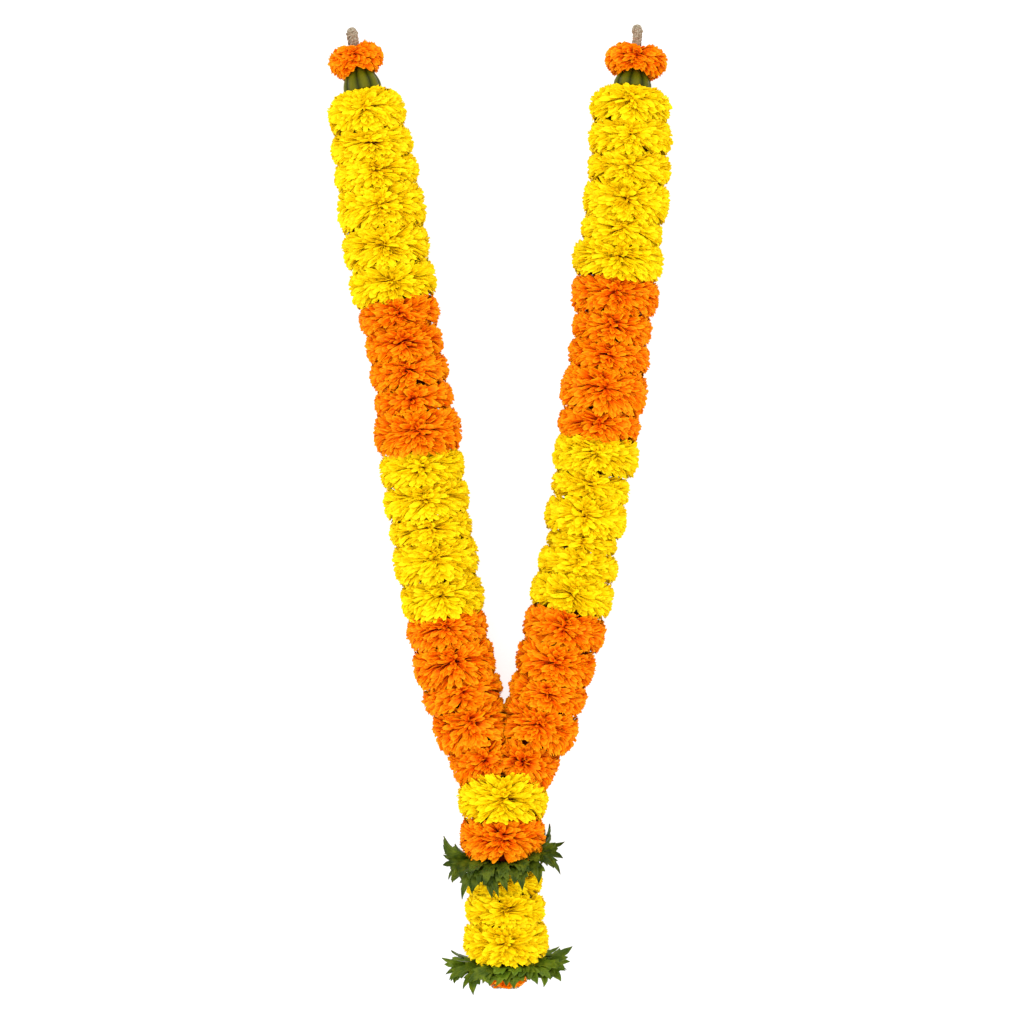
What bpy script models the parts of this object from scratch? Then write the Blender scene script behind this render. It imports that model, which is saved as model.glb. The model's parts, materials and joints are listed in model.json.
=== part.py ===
"""Marigold garland, laid flat: two strands of flower heads on jute cord that join in one tail.

Metres, +Z up. The garland lies on z = 0 with its tail towards -Y and its open neck towards +Y.
"""
import math
import random

import bmesh
import bpy
from mathutils import Matrix, Vector

# cords
CORD_RADIUS = 0.0038
CORD_STUB_RADIUS = 0.0044
LONGEST_CORD_STEP = 0.024
# fits
GAP = 0.0002
HOLE_CLEARANCE = 0.0006
FLOOR_CLEARANCE = 0.0006
PARTING_X = 0.0046
PARTING_Y = -0.2165
# how much wider a hole for two cords is, and how far their distance apart counts upwards
PAIR_WIDTH = 1.06
PAIR_HEIGHT = 0.3
PAIR_HEIGHT_MOST = 0.006
# flower heads; shares are of the head's radius or depth
PETALS_AROUND = 10
MOST_ROWS = 4
ROW_DEPTH = 0.0078
CORE_SHARE = 0.50
CORE_TAPER = 0.07
CORE_STRETCH = 1.04
RIM_SHARE = 0.86
RIM_POWER = 1.5
RIM_FALL = 0.65
TIP_STRETCH = 1.18
PETAL_SPREAD = 0.72
ANGLE_SPREAD = 0.06
DEPTH_SPREAD = 0.03
RADIUS_SPREAD = 0.06
TURN_SPREAD = 0.30
# leaf ruffs
RUFF_DEPTH = 0.006
LEAF_REACH = 0.0500
FOLD_RADIUS = 0.0384
LEAF_WIDTH = 0.012
MIDRIB_THICKNESS = 0.0010
LEAF_FOLD = 0.06
LEAF_FLOOR = 0.0016
LEAF_STAGGER = 0.00001
LOW_LEAF = 0.52
HUB_RADIUS = 0.0150
LEAF_ROOT = 0.0122
LEAF_TURN_SPREAD = 0.05
LEAF_REACH_SPREAD = (0.92, 1.06)
LEAF_WIDTH_SPREAD = (0.92, 1.05)
# where a leaf starts to fold before the heads' rims, and its depth there; then what it gains past
# them, and how much reach it gives up for it
FOLD_START = 0.0070
FOLD_DEPTH = 0.0085
FOLD_DROP = 1.35
FOLD_PULL = 0.85
# how far along the line the end of a leaf on the surface lies
LOW_LEAF_DEPTH = 0.0006
# Leaves of a ruff round the cords, in degrees from its right-hand side; 90 points straight up.
RUFF_ANGLES = (-34, -4, 26, 54, 80, 106, 134, 164, 194, 238, 282)
# Tiers of a ruff: depth along the line, added lean down the line, and turn of its leaves.
UPPER_TIERS = ((-0.0017, -0.35, 0), (0.0, 0.0, 10), (0.0017, 0.35, 20))
LOWER_TIERS = ((-0.0017, -0.74, 4), (0.0, -0.60, 14), (0.0017, -0.46, 24))
# Half-width of a leaf along its length: two sharp teeth a side, then the tip.
LEAF_OUTLINE = ((0.0, 0.30), (0.42, 1.0), (0.48, 0.68), (0.72, 0.86), (0.78, 0.50))
# calyxes and knot
CALYX_RADIUS = 0.0148
CALYX_NECK = 0.0090
CALYX_RIBS = 9
CALYX_RIB_HEIGHT = 0.0007
# how much a calyx swells out of its neck, and how far it keeps from both ends of its place
CALYX_SWELL = 1.25
CALYX_END = 0.02
KNOT_RADIUS = 0.0125
KNOT_ROUNDING = 0.0016
KNOT_FLATNESS = 0.8
# how far above a strand's first piece the cord's bound free end stops
BOUND_END = 0.006
SEED = 51

YELLOW = "yellow"
ORANGE = "orange"

# Routes of the two cords, hand-set from the free stub to the knot: x, y, z.
LEFT_ROUTE = (
    (-0.1200, 0.3835, 0.0230), (-0.1175, 0.3705, 0.0235), (-0.1145, 0.3570, 0.0245),
    (-0.1100, 0.3380, 0.0265), (-0.1060, 0.3155, 0.0285), (-0.1020, 0.2890, 0.0290),
    (-0.0975, 0.2640, 0.0290), (-0.0940, 0.2380, 0.0290), (-0.0905, 0.2070, 0.0290),
    (-0.0850, 0.1790, 0.0290), (-0.0795, 0.1520, 0.0290), (-0.0720, 0.1080, 0.0290),
    (-0.0665, 0.0750, 0.0290), (-0.0635, 0.0450, 0.0290), (-0.0600, 0.0170, 0.0290),
    (-0.0545, -0.0170, 0.0290), (-0.0505, -0.0430, 0.0290), (-0.0450, -0.0730, 0.0290),
    (-0.0415, -0.0980, 0.0290), (-0.0360, -0.1245, 0.0290), (-0.0295, -0.1485, 0.0290),
    (-0.0220, -0.1725, 0.0290), (-0.0115, -0.1990, 0.0290), (-0.0030, -0.2240, 0.0290),
    (-0.0015, -0.2480, 0.0290), (-0.0010, -0.2830, 0.0290), (0.0005, -0.3120, 0.0290),
    (0.0012, -0.3480, 0.0290), (0.0010, -0.3760, 0.0280), (0.0010, -0.3840, 0.0275),
)
RIGHT_ROUTE = (
    (0.1110, 0.3865, 0.0230), (0.1105, 0.3700, 0.0235), (0.1100, 0.3570, 0.0245),
    (0.1070, 0.3400, 0.0265), (0.1050, 0.3180, 0.0285), (0.1050, 0.2940, 0.0290),
    (0.1045, 0.2700, 0.0290), (0.1020, 0.2450, 0.0290), (0.0980, 0.2190, 0.0290),
    (0.0950, 0.1940, 0.0290), (0.0925, 0.1660, 0.0290), (0.0905, 0.1410, 0.0290),
    (0.0875, 0.1150, 0.0290), (0.0830, 0.0860, 0.0290), (0.0790, 0.0590, 0.0290),
    (0.0765, 0.0340, 0.0290), (0.0725, 0.0110, 0.0290), (0.0690, -0.0110, 0.0290),
    (0.0645, -0.0390, 0.0290), (0.0585, -0.0700, 0.0290), (0.0520, -0.0980, 0.0290),
    (0.0455, -0.1240, 0.0290), (0.0390, -0.1490, 0.0290), (0.0315, -0.1740, 0.0290),
    (0.0205, -0.2000, 0.0290), (0.0095, -0.2240, 0.0290), (0.0070, -0.2480, 0.0290),
    (0.0076, -0.2830, 0.0290), (0.0091, -0.3120, 0.0290), (0.0098, -0.3480, 0.0290),
    (0.0096, -0.3760, 0.0280), (0.0096, -0.3840, 0.0275),
)

# Pieces along each line, from the top: where they start, then (kind, widths, depths) in mm.
# A calyx, a ruff and the knot take their widths from the values above, so theirs is None.
LEFT_TOP = 0.3725
LEFT_PIECES = (
    (ORANGE, (44,), (25,)),
    ("calyx", (None,), (16,)),
    (YELLOW, (63, 66, 69, 72, 71, 72), (32, 22, 22, 35, 27, 30)),
    (ORANGE, (66, 63, 64, 63, 72), (22, 23, 22, 21, 32)),
    (YELLOW, (68, 69, 67, 71, 69), (25, 26, 20, 31, 27)),
    (ORANGE, (65, 67, 65, 65, 60), (24, 30, 19, 30, 28)),
)
RIGHT_TOP = 0.3725
RIGHT_PIECES = (
    (ORANGE, (49,), (26,)),
    ("calyx", (None,), (12,)),
    (YELLOW, (64, 67, 68, 71, 67, 73), (27, 26, 22, 29, 20, 27)),
    (ORANGE, (72, 64, 66, 71, 66), (30, 22, 22, 33, 21)),
    (YELLOW, (70, 64, 66, 61, 65, 69), (30, 21, 26, 14, 22, 27)),
    (ORANGE, (69, 65, 64, 65, 60), (27, 26, 22, 29, 28)),
)
TAIL_PIECES = (
    (YELLOW, (74,), (32,)),
    (ORANGE, (70,), (34,)),
    ("upper_leaf_ruff", (None,), (6,)),
    (YELLOW, (61, 64, 70), (23, 21, 32)),
    ("lower_leaf_ruff", (None,), (6,)),
    ("end", (38,), (9.5,)),
    ("tail_knot", (None,), (6,)),
)
# These heads are pressed flat on the surface underneath, so the garland stands on them.
SUPPORT_HEADS = ("left_bloom_03", "right_bloom_03", "tail_bloom_05")

FINISHES = {
    "yellow_petals": ((0.91, 0.68, 0.02, 1.0), 0.62),
    "orange_petals": ((0.86, 0.25, 0.01, 1.0), 0.60),
    "leaf_green": ((0.10, 0.17, 0.02, 1.0), 0.50),
    "calyx_green": ((0.16, 0.22, 0.04, 1.0), 0.42),
    "jute": ((0.50, 0.40, 0.26, 1.0), 0.90),
}


class Route:
    """A smooth line through hand-set points, read by its y, which falls all the way down."""

    def __init__(self, points):
        self.points = [Vector(point) for point in points]

    def slope(self, index):
        """Change of the line for each metre of y at one of its points."""
        before = self.points[max(index - 1, 0)]
        after = self.points[min(index + 1, len(self.points) - 1)]
        return (after - before) / (after.y - before.y)

    def at(self, y):
        """The point of the line at a height y; past its ends it goes on straight."""
        last = len(self.points) - 2
        index = next((i for i in range(last) if self.points[i + 1].y <= y), last)
        start, end = self.points[index], self.points[index + 1]
        span = end.y - start.y
        t = (y - start.y) / span
        if t < 0 or t > 1:
            near = index if t < 0 else index + 1
            return self.points[near] + self.slope(near) * (y - self.points[near].y)
        blend = t * t * (3 - 2 * t)
        bend_in = t * (1 - t) ** 2 * span
        bend_out = -t * t * (1 - t) * span
        point = start.lerp(end, blend)
        point += self.slope(index) * bend_in + self.slope(index + 1) * bend_out
        # blending the ends alone already carries y, so only x and z keep the bends
        point.y = y
        return point

    def direction(self, y):
        """Unit vector down the line at a height y."""
        step = 0.002
        return (self.at(y - step) - self.at(y + step)).normalized()


class Plane:
    """One side of space that a piece keeps to."""

    def __init__(self, point, normal):
        self.point = Vector(point)
        self.normal = Vector(normal).normalized()

    def keep(self, vertex):
        """Moves a point that is past the plane straight back to it."""
        past = (vertex - self.point).dot(self.normal)
        return vertex + self.normal * -past if past < 0 else vertex

    def moved(self, distance):
        """The same plane a little further in."""
        return Plane(self.point + self.normal * distance, self.normal)


class Frame:
    """Local axes at a piece: down the line, sideways and up."""

    def __init__(self, top, bottom):
        self.top = top
        self.axis = (bottom - top).normalized()
        self.length = (bottom - top).length
        self.side = self.axis.cross(Vector((0, 0, 1))).normalized()
        self.up = self.side.cross(self.axis).normalized()

    def place(self, depth, radius, angle, stretch=(1.0, 1.0)):
        """A point at a depth along the axis, a radius out and an angle round from the side."""
        out = self.side * (math.cos(angle) * stretch[0]) + self.up * (math.sin(angle) * stretch[1])
        return self.top + self.axis * depth + out * radius


def clear_scene():
    """Remove what the file opened with."""
    for obj in list(bpy.data.objects):
        bpy.data.objects.remove(obj, do_unlink=True)


def make_collection(name):
    """A new collection in the scene."""
    collection = bpy.data.collections.new(name)
    bpy.context.scene.collection.children.link(collection)
    return collection


def finish_material(name):
    """The shared Principled material of one finish."""
    if name in bpy.data.materials:
        return bpy.data.materials[name]
    colour, roughness = FINISHES[name]
    material = bpy.data.materials.new(name)
    material.use_nodes = True
    shader = material.node_tree.nodes["Principled BSDF"]
    shader.inputs["Base Color"].default_value = colour
    shader.inputs["Roughness"].default_value = roughness
    shader.inputs["Metallic"].default_value = 0.0
    return material


def add_object(name, mesh, finish, collection):
    """An object with one finish on all its faces."""
    mesh.materials.clear()
    mesh.materials.append(finish_material(finish))
    obj = bpy.data.objects.new(name, mesh)
    collection.objects.link(obj)
    return obj


def mesh_from(name, vertices, faces):
    """A mesh from worked-out rings, with its faces turned outwards."""
    shell = bmesh.new()
    made = [shell.verts.new(vertex) for vertex in vertices]
    for face in faces:
        shell.faces.new([made[index] for index in face])
    bmesh.ops.recalc_face_normals(shell, faces=shell.faces)
    mesh = bpy.data.meshes.new(name)
    shell.to_mesh(mesh)
    shell.free()
    return mesh


def hole_ring(routes, y, clearance):
    """Centre of the hole at a height y, with its two half-axes round one cord or a pair."""
    points = [route.at(y) for route in routes]
    centre = sum(points, Vector()) / len(points)
    apart = (points[-1] - points[0]).length / 2
    around_cord = (CORD_RADIUS + clearance) / math.cos(math.pi / PETALS_AROUND)
    return centre, (around_cord + apart * PAIR_WIDTH,
                    around_cord + min(apart, PAIR_HEIGHT_MOST) * PAIR_HEIGHT)


def bow(routes, y_top, y_bottom):
    """How far the cords bend away from a straight hole."""
    middle = (y_top + y_bottom) / 2
    worst = 0.0
    for route in routes:
        chord = (route.at(y_top) + route.at(y_bottom)) / 2
        worst = max(worst, (route.at(middle) - chord).length)
    return worst


def bloom_mesh(name, routes, y_top, y_bottom, width, planes, rng):
    """A flower head: rows of wedge petals that stand out of a smaller core round the cord's hole.

    The rings of the core run from one mouth of the hole round the outside to the other, each turned
    half a petal on from the last, so that each petal stands between two of the row above.
    """
    clearance = HOLE_CLEARANCE + 1.5 * bow(routes, y_top, y_bottom)
    top, top_hole = hole_ring(routes, y_top, clearance)
    bottom, bottom_hole = hole_ring(routes, y_bottom, clearance)
    frame = Frame(top, bottom)
    radius = width / 2
    rows = min(MOST_ROWS, max(2, round(frame.length / ROW_DEPTH)))
    around = PETALS_AROUND
    step = math.tau / around
    start = rng.uniform(0, step)

    def core_vertex(ring, index):
        angle = start + step * (index + ring / 2)
        if ring in (0, rows):
            half_axes = top_hole if ring == 0 else bottom_hole
            return frame.place(frame.length * ring / rows, 1.0, angle, half_axes)
        depth = frame.length * (0.5 + (ring / rows - 0.5) * CORE_STRETCH)
        share = CORE_SHARE - CORE_TAPER * abs(2 * ring / rows - 1)
        return frame.place(depth, radius * share, angle)

    def keep_inside(vertex):
        for plane in planes * 2:
            vertex = plane.keep(vertex)
        return vertex

    vertices = [keep_inside(core_vertex(r, i)) for r in range(rows + 1) for i in range(around)]
    faces = []
    for row in range(rows):
        middle = (row + 0.5) / rows
        tip_depth = frame.length * (0.5 + (middle - 0.5) * TIP_STRETCH)
        rim = 1.0 - (1.0 - RIM_SHARE) * abs(2 * middle - 1) ** RIM_POWER / RIM_FALL
        for index in range(around):
            low, high = row * around, (row + 1) * around
            corners = (low + index, low + (index + 1) % around,
                       high + (index + 1) % around, high + index)
            angle = start + step * (index + 0.5 + (row + 0.5) / 2)
            angle += rng.uniform(-ANGLE_SPREAD, ANGLE_SPREAD)
            reach = radius * rim * (1 + rng.uniform(-RADIUS_SPREAD, RADIUS_SPREAD / 2))
            half_angle = step * PETAL_SPREAD / 2
            turn = rng.uniform(-TURN_SPREAD, TURN_SPREAD) * frame.length / rows
            depth = tip_depth + rng.uniform(-DEPTH_SPREAD, DEPTH_SPREAD) * frame.length
            tips = [keep_inside(frame.place(depth - turn, reach, angle - half_angle)),
                    keep_inside(frame.place(depth + turn, reach, angle + half_angle))]
            first = len(vertices)
            vertices.extend(tips)
            a, b, c, d = corners
            faces.extend(((a, b, first + 1), (a, first + 1, first), (c, d, first),
                          (c, first, first + 1), (b, c, first + 1), (d, a, first)))
    shift = (rows + 1) // 2
    for index in range(around):
        a, b = index, (index + 1) % around
        c, d = (rows * around + (i - shift) % around for i in (index + 1, index))
        faces.extend(((b, a, c), (a, d, c)))
    return mesh_from(name, vertices, faces)


def press_flat(mesh, plane):
    """Cuts a mesh off flat at a plane, with new faces where it is cut."""
    shell = bmesh.new()
    shell.from_mesh(mesh)
    geometry = shell.verts[:] + shell.edges[:] + shell.faces[:]
    bmesh.ops.bisect_plane(shell, geom=geometry, plane_co=plane.point, plane_no=plane.normal,
                           clear_inner=True)
    rim = [edge for edge in shell.edges if edge.is_boundary]
    bmesh.ops.holes_fill(shell, edges=rim)
    bmesh.ops.triangulate(shell, faces=shell.faces)
    shell.to_mesh(mesh)
    shell.free()


def calyx_mesh(name, route, y_top, y_bottom, planes):
    """A ribbed green bell with the cord's hole through it, wide end down the line."""
    clearance = HOLE_CLEARANCE + bow((route,), y_top, y_bottom)
    frame = Frame(route.at(y_top), route.at(y_bottom))
    hole = (CORD_RADIUS + clearance) / math.cos(math.pi / (2 * CALYX_RIBS))
    profile = ((CALYX_END, hole, 0), (CALYX_END, CALYX_NECK, 0.4),
               (0.30, CALYX_NECK * CALYX_SWELL, 1.0), (0.72, CALYX_RADIUS, 1.0),
               (1 - CALYX_END, CALYX_RADIUS * 0.98, 1.0), (1 - CALYX_END, hole, 0))
    around = 2 * CALYX_RIBS
    vertices = []
    for depth, radius, rib in profile:
        for index in range(around):
            raised = radius + CALYX_RIB_HEIGHT * (1 if index % 2 else -1) * rib
            vertex = frame.place(depth * frame.length, raised, math.tau * index / around)
            for plane in planes:
                vertex = plane.keep(vertex)
            vertices.append(vertex)
    faces = []
    rings = len(profile)
    for ring in range(rings):
        for index in range(around):
            after = (index + 1) % around
            a, b = ring * around + index, ring * around + after
            c, d = ((ring + 1) % rings * around + i for i in (after, index))
            faces.extend(((a, b, c), (a, c, d)))
    return mesh_from(name, vertices, faces)


def leaf_path(lean, reach, fold, down):
    """Radius and depth along a leaf: straight out between two flower heads, then bent.

    lean is 0 for a leaf that goes on straight out and 1 for one that folds down over a head's rim,
    at the radius fold; its sign gives the way. reach is how far out a straight leaf would end.
    down is true for a leaf that the surface stops short.
    """
    sign = math.copysign(1.0, lean)
    lean = abs(lean)
    if down:
        corners = ((LEAF_ROOT, 0.0), (reach, LOW_LEAF_DEPTH * lean))
    else:
        over = reach - fold
        corners = ((LEAF_ROOT, 0.0), (fold - FOLD_START, 0.0), (fold, FOLD_DEPTH * lean),
                   (fold + over * (1 - FOLD_PULL * lean), (FOLD_DEPTH + over * FOLD_DROP) * lean))
    return [Vector((r, s * sign)) for r, s in corners]


def along(corners, share):
    """A point at a share of the way along a bent path."""
    lengths = [(b - a).length for a, b in zip(corners, corners[1:])]
    left = share * sum(lengths)
    for start, end, length in zip(corners, corners[1:], lengths):
        if left <= length:
            return start.lerp(end, left / length)
        left -= length
    return corners[-1]


def leaf_mesh(name, frame, centre, angle, tier, path, width, floor, slab):
    """One toothed leaf, folded a little along a thicker midrib, closed to a point at its tip.

    It keeps above the floor and, until it is past the flower heads' rims, inside the ruff's slab.
    """
    vertices = []
    across = frame.side * -math.sin(angle) + frame.up * math.cos(angle)
    outward = frame.side * math.cos(angle) + frame.up * math.sin(angle)
    stations = LEAF_OUTLINE + ((1.0, 0.0),)
    for share, half in stations:
        spot = along(path, share)
        ahead = along(path, min(share + 0.05, 1.0)) - along(path, max(share - 0.05, 0.0))
        ahead.normalize()
        normal = frame.axis * ahead.x - outward * ahead.y
        point = centre + outward * spot.x + frame.axis * (spot.y + tier)
        planes = [floor] + (slab if spot.x < FOLD_RADIUS - 0.004 else [])
        if half == 0.0:
            vertices.append(floor.keep(point))
            continue
        fold = normal * math.copysign(LEAF_FOLD * width * half, -path[-1].y)
        thick = normal * (MIDRIB_THICKNESS / 2)
        reach = across * (half * width / 2)
        for vertex in (point - reach - fold, point + thick, point + reach - fold, point - thick):
            for plane in planes:
                vertex = plane.keep(vertex)
            vertices.append(vertex)
    faces = [(0, 2, 1), (0, 3, 2)]
    last = len(LEAF_OUTLINE) - 1
    for station in range(last):
        for corner in range(4):
            a = 4 * station + corner
            b = 4 * station + (corner + 1) % 4
            faces.extend(((a, b, b + 4), (a, b + 4, a + 4)))
    tip = len(vertices) - 1
    faces.extend((4 * last + i, 4 * last + (i + 1) % 4, tip) for i in range(4))
    return mesh_from(name, vertices, faces)


def hub_mesh(name, frame, centre, hole, half_depth):
    """The ring of stem ends that the leaves grow from, with the cords' hole through it."""
    around = 14
    vertices = []
    for depth, inner in ((-half_depth, True), (-half_depth, False),
                         (half_depth, False), (half_depth, True)):
        for index in range(around):
            angle = math.tau * index / around
            axes = hole if inner else (HUB_RADIUS, HUB_RADIUS)
            out = frame.side * math.cos(angle) * axes[0] + frame.up * math.sin(angle) * axes[1]
            vertices.append(centre + out + frame.axis * depth)
    faces = []
    for ring in range(4):
        for index in range(around):
            after = (index + 1) % around
            faces.append((ring * around + index, ring * around + after,
                          (ring + 1) % 4 * around + after, (ring + 1) % 4 * around + index))
    return mesh_from(name, vertices, faces)


def join_solids(target, solids, cutters):
    """Joins overlapping solids into the target by one Boolean union and removes them."""
    modifier = target.modifiers.new("union", "BOOLEAN")
    modifier.operation = "UNION"
    modifier.operand_type = "COLLECTION"
    modifier.collection = cutters
    graph = bpy.context.evaluated_depsgraph_get()
    joined = bpy.data.meshes.new_from_object(target.evaluated_get(graph))
    target.modifiers.clear()
    target.data = joined
    for solid in solids:
        bpy.data.objects.remove(solid, do_unlink=True)
    return target


def ruff(name, routes, y_top, y_bottom, tiers, garland, cutters, rng):
    """A collar of toothed leaves in tiers, fused at the ring that the cords run through."""
    centre, hole = hole_ring(routes, (y_top + y_bottom) / 2, HOLE_CLEARANCE)
    frame = Frame(hole_ring(routes, y_top, 0)[0], hole_ring(routes, y_bottom, 0)[0])
    floor = Plane((0, 0, LEAF_FLOOR), (0, 0, 1))
    slab = end_planes(routes, y_top, y_bottom)
    hub = add_object(name, hub_mesh(name, frame, centre, hole, RUFF_DEPTH / 2 - 3 * GAP),
                     "leaf_green", garland)
    leaves = []
    for depth, offset, turned in tiers:
        for angle in RUFF_ANGLES:
            angle = math.radians(angle + turned) + rng.uniform(-LEAF_TURN_SPREAD, LEAF_TURN_SPREAD)
            drop = -math.sin(angle)
            down = drop > LOW_LEAF
            if down:
                reach = (centre.z - LEAF_FLOOR) / drop
            else:
                reach = LEAF_REACH * rng.uniform(*LEAF_REACH_SPREAD)
            lean = max(-1.0, min(1.0, offset - drop))
            path = leaf_path(lean, reach, FOLD_RADIUS - depth, down)
            width = LEAF_WIDTH * rng.uniform(*LEAF_WIDTH_SPREAD)
            inset = LEAF_STAGGER * (len(leaves) + 1)
            mesh = leaf_mesh(f"{name}_leaf", frame, centre, angle, depth, path, width,
                             floor.moved(inset), [plane.moved(inset) for plane in slab])
            leaf = bpy.data.objects.new(f"{name}_leaf_{len(leaves):02d}", mesh)
            leaf.hide_render = True
            leaf.display_type = "WIRE"
            cutters.objects.link(leaf)
            leaves.append(leaf)
    return join_solids(hub, leaves, cutters)


def cord(name, route, stops, garland):
    """A jute cord through every piece on its line, with a bound knob at its free end."""
    ys = [stops[0]]
    for y in stops[1:]:
        parts = max(1, math.ceil((ys[-1] - y) / LONGEST_CORD_STEP))
        begin = ys[-1]
        ys.extend(begin + (y - begin) * part / parts for part in range(1, parts + 1))
    curve = bpy.data.curves.new(name, "CURVE")
    curve.dimensions = "3D"
    curve.bevel_depth = CORD_RADIUS
    curve.bevel_resolution = 2
    curve.use_fill_caps = True
    spline = curve.splines.new("POLY")
    spline.points.add(len(ys) - 1)
    for point, y in zip(spline.points, ys):
        point.co = (*route.at(y), 1.0)
        if y > LEFT_TOP + BOUND_END:
            point.radius = CORD_STUB_RADIUS / CORD_RADIUS
    curve.materials.append(finish_material("jute"))
    obj = bpy.data.objects.new(name, curve)
    garland.objects.link(obj)
    return obj


def knot(name, routes, y_top, y_bottom, garland):
    """The flat knot that ties both cords off under the last flower head."""
    centre = sum((route.at((y_top + y_bottom) / 2) for route in routes), Vector()) / len(routes)
    shell = bmesh.new()
    bmesh.ops.create_cone(shell, cap_ends=True, segments=12, radius1=KNOT_RADIUS,
                          radius2=KNOT_RADIUS, depth=y_top - y_bottom - 2 * GAP)
    rims = [edge for edge in shell.edges if abs(edge.verts[0].co.z - edge.verts[1].co.z) < 1e-6]
    bmesh.ops.bevel(shell, geom=rims, offset=KNOT_ROUNDING, segments=2, profile=0.5,
                    affect="EDGES")
    bmesh.ops.rotate(shell, matrix=Matrix.Rotation(math.pi / 2, 3, "X"), verts=shell.verts)
    bmesh.ops.scale(shell, vec=(1.0, 1.0, KNOT_FLATNESS), verts=shell.verts)
    bmesh.ops.translate(shell, vec=centre, verts=shell.verts)
    bmesh.ops.triangulate(shell, faces=shell.faces)
    mesh = bpy.data.meshes.new(name)
    shell.to_mesh(mesh)
    shell.free()
    return add_object(name, mesh, "jute", garland)


def laid_out(top, pieces):
    """Each piece of a line as (kind, width, y at its top, y at its bottom), in metres."""
    y = top
    for kind, widths, depths in pieces:
        for width, depth in zip(widths, depths):
            yield kind, width and width / 1000, y, y - depth / 1000
            y -= depth / 1000


def end_planes(routes, y_top, y_bottom):
    """The two planes that a piece keeps between, square to its line except where the lines join."""
    planes = []
    for y, sign in ((y_top, 1), (y_bottom, -1)):
        joint = len(routes) > 1 or abs(y - PARTING_Y) < 0.0002
        normal = Vector((0, -1, 0)) if joint else routes[0].direction(y)
        centre = sum((route.at(y) for route in routes), Vector()) / len(routes)
        planes.append(Plane(centre + normal * sign * GAP, normal * sign))
    return planes


def bloom(name, kind, routes, y_top, y_bottom, width, sideways, garland, rng):
    """One flower head as its own object, kept clear of its neighbours and of the surface."""
    planes = end_planes(routes, y_top, y_bottom) + sideways
    support = name in SUPPORT_HEADS
    if not support:
        planes.append(Plane((0, 0, FLOOR_CLEARANCE), (0, 0, 1)))
    mesh = bloom_mesh(name, routes, y_top, y_bottom, width, planes, rng)
    if support:
        press_flat(mesh, Plane((0, 0, 0), (0, 0, 1)))
    return add_object(name, mesh, f"{kind}_petals", garland)


def strand(side, route, top, pieces, sideways, garland, rng):
    """The flower heads and the calyx of one strand. Returns the heights where pieces meet."""
    number = 0
    stops = [route.points[0].y, top + BOUND_END, top]
    for kind, width, y_top, y_bottom in laid_out(top, pieces):
        stops.append(y_bottom)
        if kind == "calyx":
            planes = end_planes((route,), y_top, y_bottom)
            add_object(f"{side}_calyx", calyx_mesh("calyx", route, y_top, y_bottom, planes),
                       "calyx_green", garland)
            continue
        number += 1
        bloom(f"{side}_bloom_{number:02d}", kind, (route,), y_top, y_bottom, width,
              sideways, garland, rng)
    return stops


def tail(routes, garland, cutters, rng):
    """Everything below the join of the strands. Returns the heights where pieces meet."""
    number = 0
    stops = []
    for kind, width, y_top, y_bottom in laid_out(PARTING_Y, TAIL_PIECES):
        if kind == "tail_knot":
            stops[-1] += 2 * GAP
            knot(kind, routes, y_top, y_bottom, garland)
            continue
        stops.append(y_bottom)
        if kind.endswith("ruff"):
            tiers = UPPER_TIERS if kind.startswith("upper") else LOWER_TIERS
            ruff(kind, routes, y_top, y_bottom, tiers, garland, cutters, rng)
        elif kind == "end":
            bloom("end_bloom", ORANGE, routes, y_top, y_bottom, width, [], garland, rng)
        else:
            number += 1
            bloom(f"tail_bloom_{number:02d}", kind, routes, y_top, y_bottom, width, [],
                  garland, rng)
    return stops


def main():
    """Lay out both strands, the tail and the two cords."""
    clear_scene()
    garland = make_collection("marigold_garland")
    cutters = make_collection("cutters")
    rng = random.Random(SEED)
    left, right = Route(LEFT_ROUTE), Route(RIGHT_ROUTE)
    left_of = [Plane((PARTING_X - GAP, 0, 0), (-1, 0, 0))]
    right_of = [Plane((PARTING_X + GAP, 0, 0), (1, 0, 0))]
    left_stops = strand("left", left, LEFT_TOP, LEFT_PIECES, left_of, garland, rng)
    right_stops = strand("right", right, RIGHT_TOP, RIGHT_PIECES, right_of, garland, rng)
    tail_stops = tail((left, right), garland, cutters, rng)
    cord("left_cord", left, left_stops + tail_stops, garland)
    cord("right_cord", right, right_stops + tail_stops, garland)


main()
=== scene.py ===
"""Marigold garland: the looks of every flower head, leaf, calyx and cord, around the fixed frame.

Metres, +Z up. The garland lies on z = 0 with its tail towards -Y.
"""
import json
import logging
import math
from collections.abc import Callable
from dataclasses import dataclass, field
from enum import Enum
from functools import cache

import bpy
import numpy as np
from mathutils import Matrix, Vector, noise

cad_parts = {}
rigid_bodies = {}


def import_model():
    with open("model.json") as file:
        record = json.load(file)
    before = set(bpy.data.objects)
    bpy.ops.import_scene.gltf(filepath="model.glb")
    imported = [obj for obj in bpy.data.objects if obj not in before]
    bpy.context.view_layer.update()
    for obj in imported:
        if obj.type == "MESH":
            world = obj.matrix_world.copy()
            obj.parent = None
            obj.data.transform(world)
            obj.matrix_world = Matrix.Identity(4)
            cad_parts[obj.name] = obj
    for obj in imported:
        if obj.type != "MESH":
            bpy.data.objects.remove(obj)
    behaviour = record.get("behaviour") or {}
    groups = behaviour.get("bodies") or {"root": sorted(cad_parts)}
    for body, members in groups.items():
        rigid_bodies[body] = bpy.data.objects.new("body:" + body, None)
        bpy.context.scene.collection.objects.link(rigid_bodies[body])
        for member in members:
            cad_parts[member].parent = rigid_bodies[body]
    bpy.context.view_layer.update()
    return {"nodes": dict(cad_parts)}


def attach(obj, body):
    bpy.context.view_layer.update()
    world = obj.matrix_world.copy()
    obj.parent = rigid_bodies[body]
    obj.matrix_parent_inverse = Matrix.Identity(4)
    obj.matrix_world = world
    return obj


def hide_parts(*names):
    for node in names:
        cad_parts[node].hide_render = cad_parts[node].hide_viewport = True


log = logging.getLogger("garland")

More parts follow.
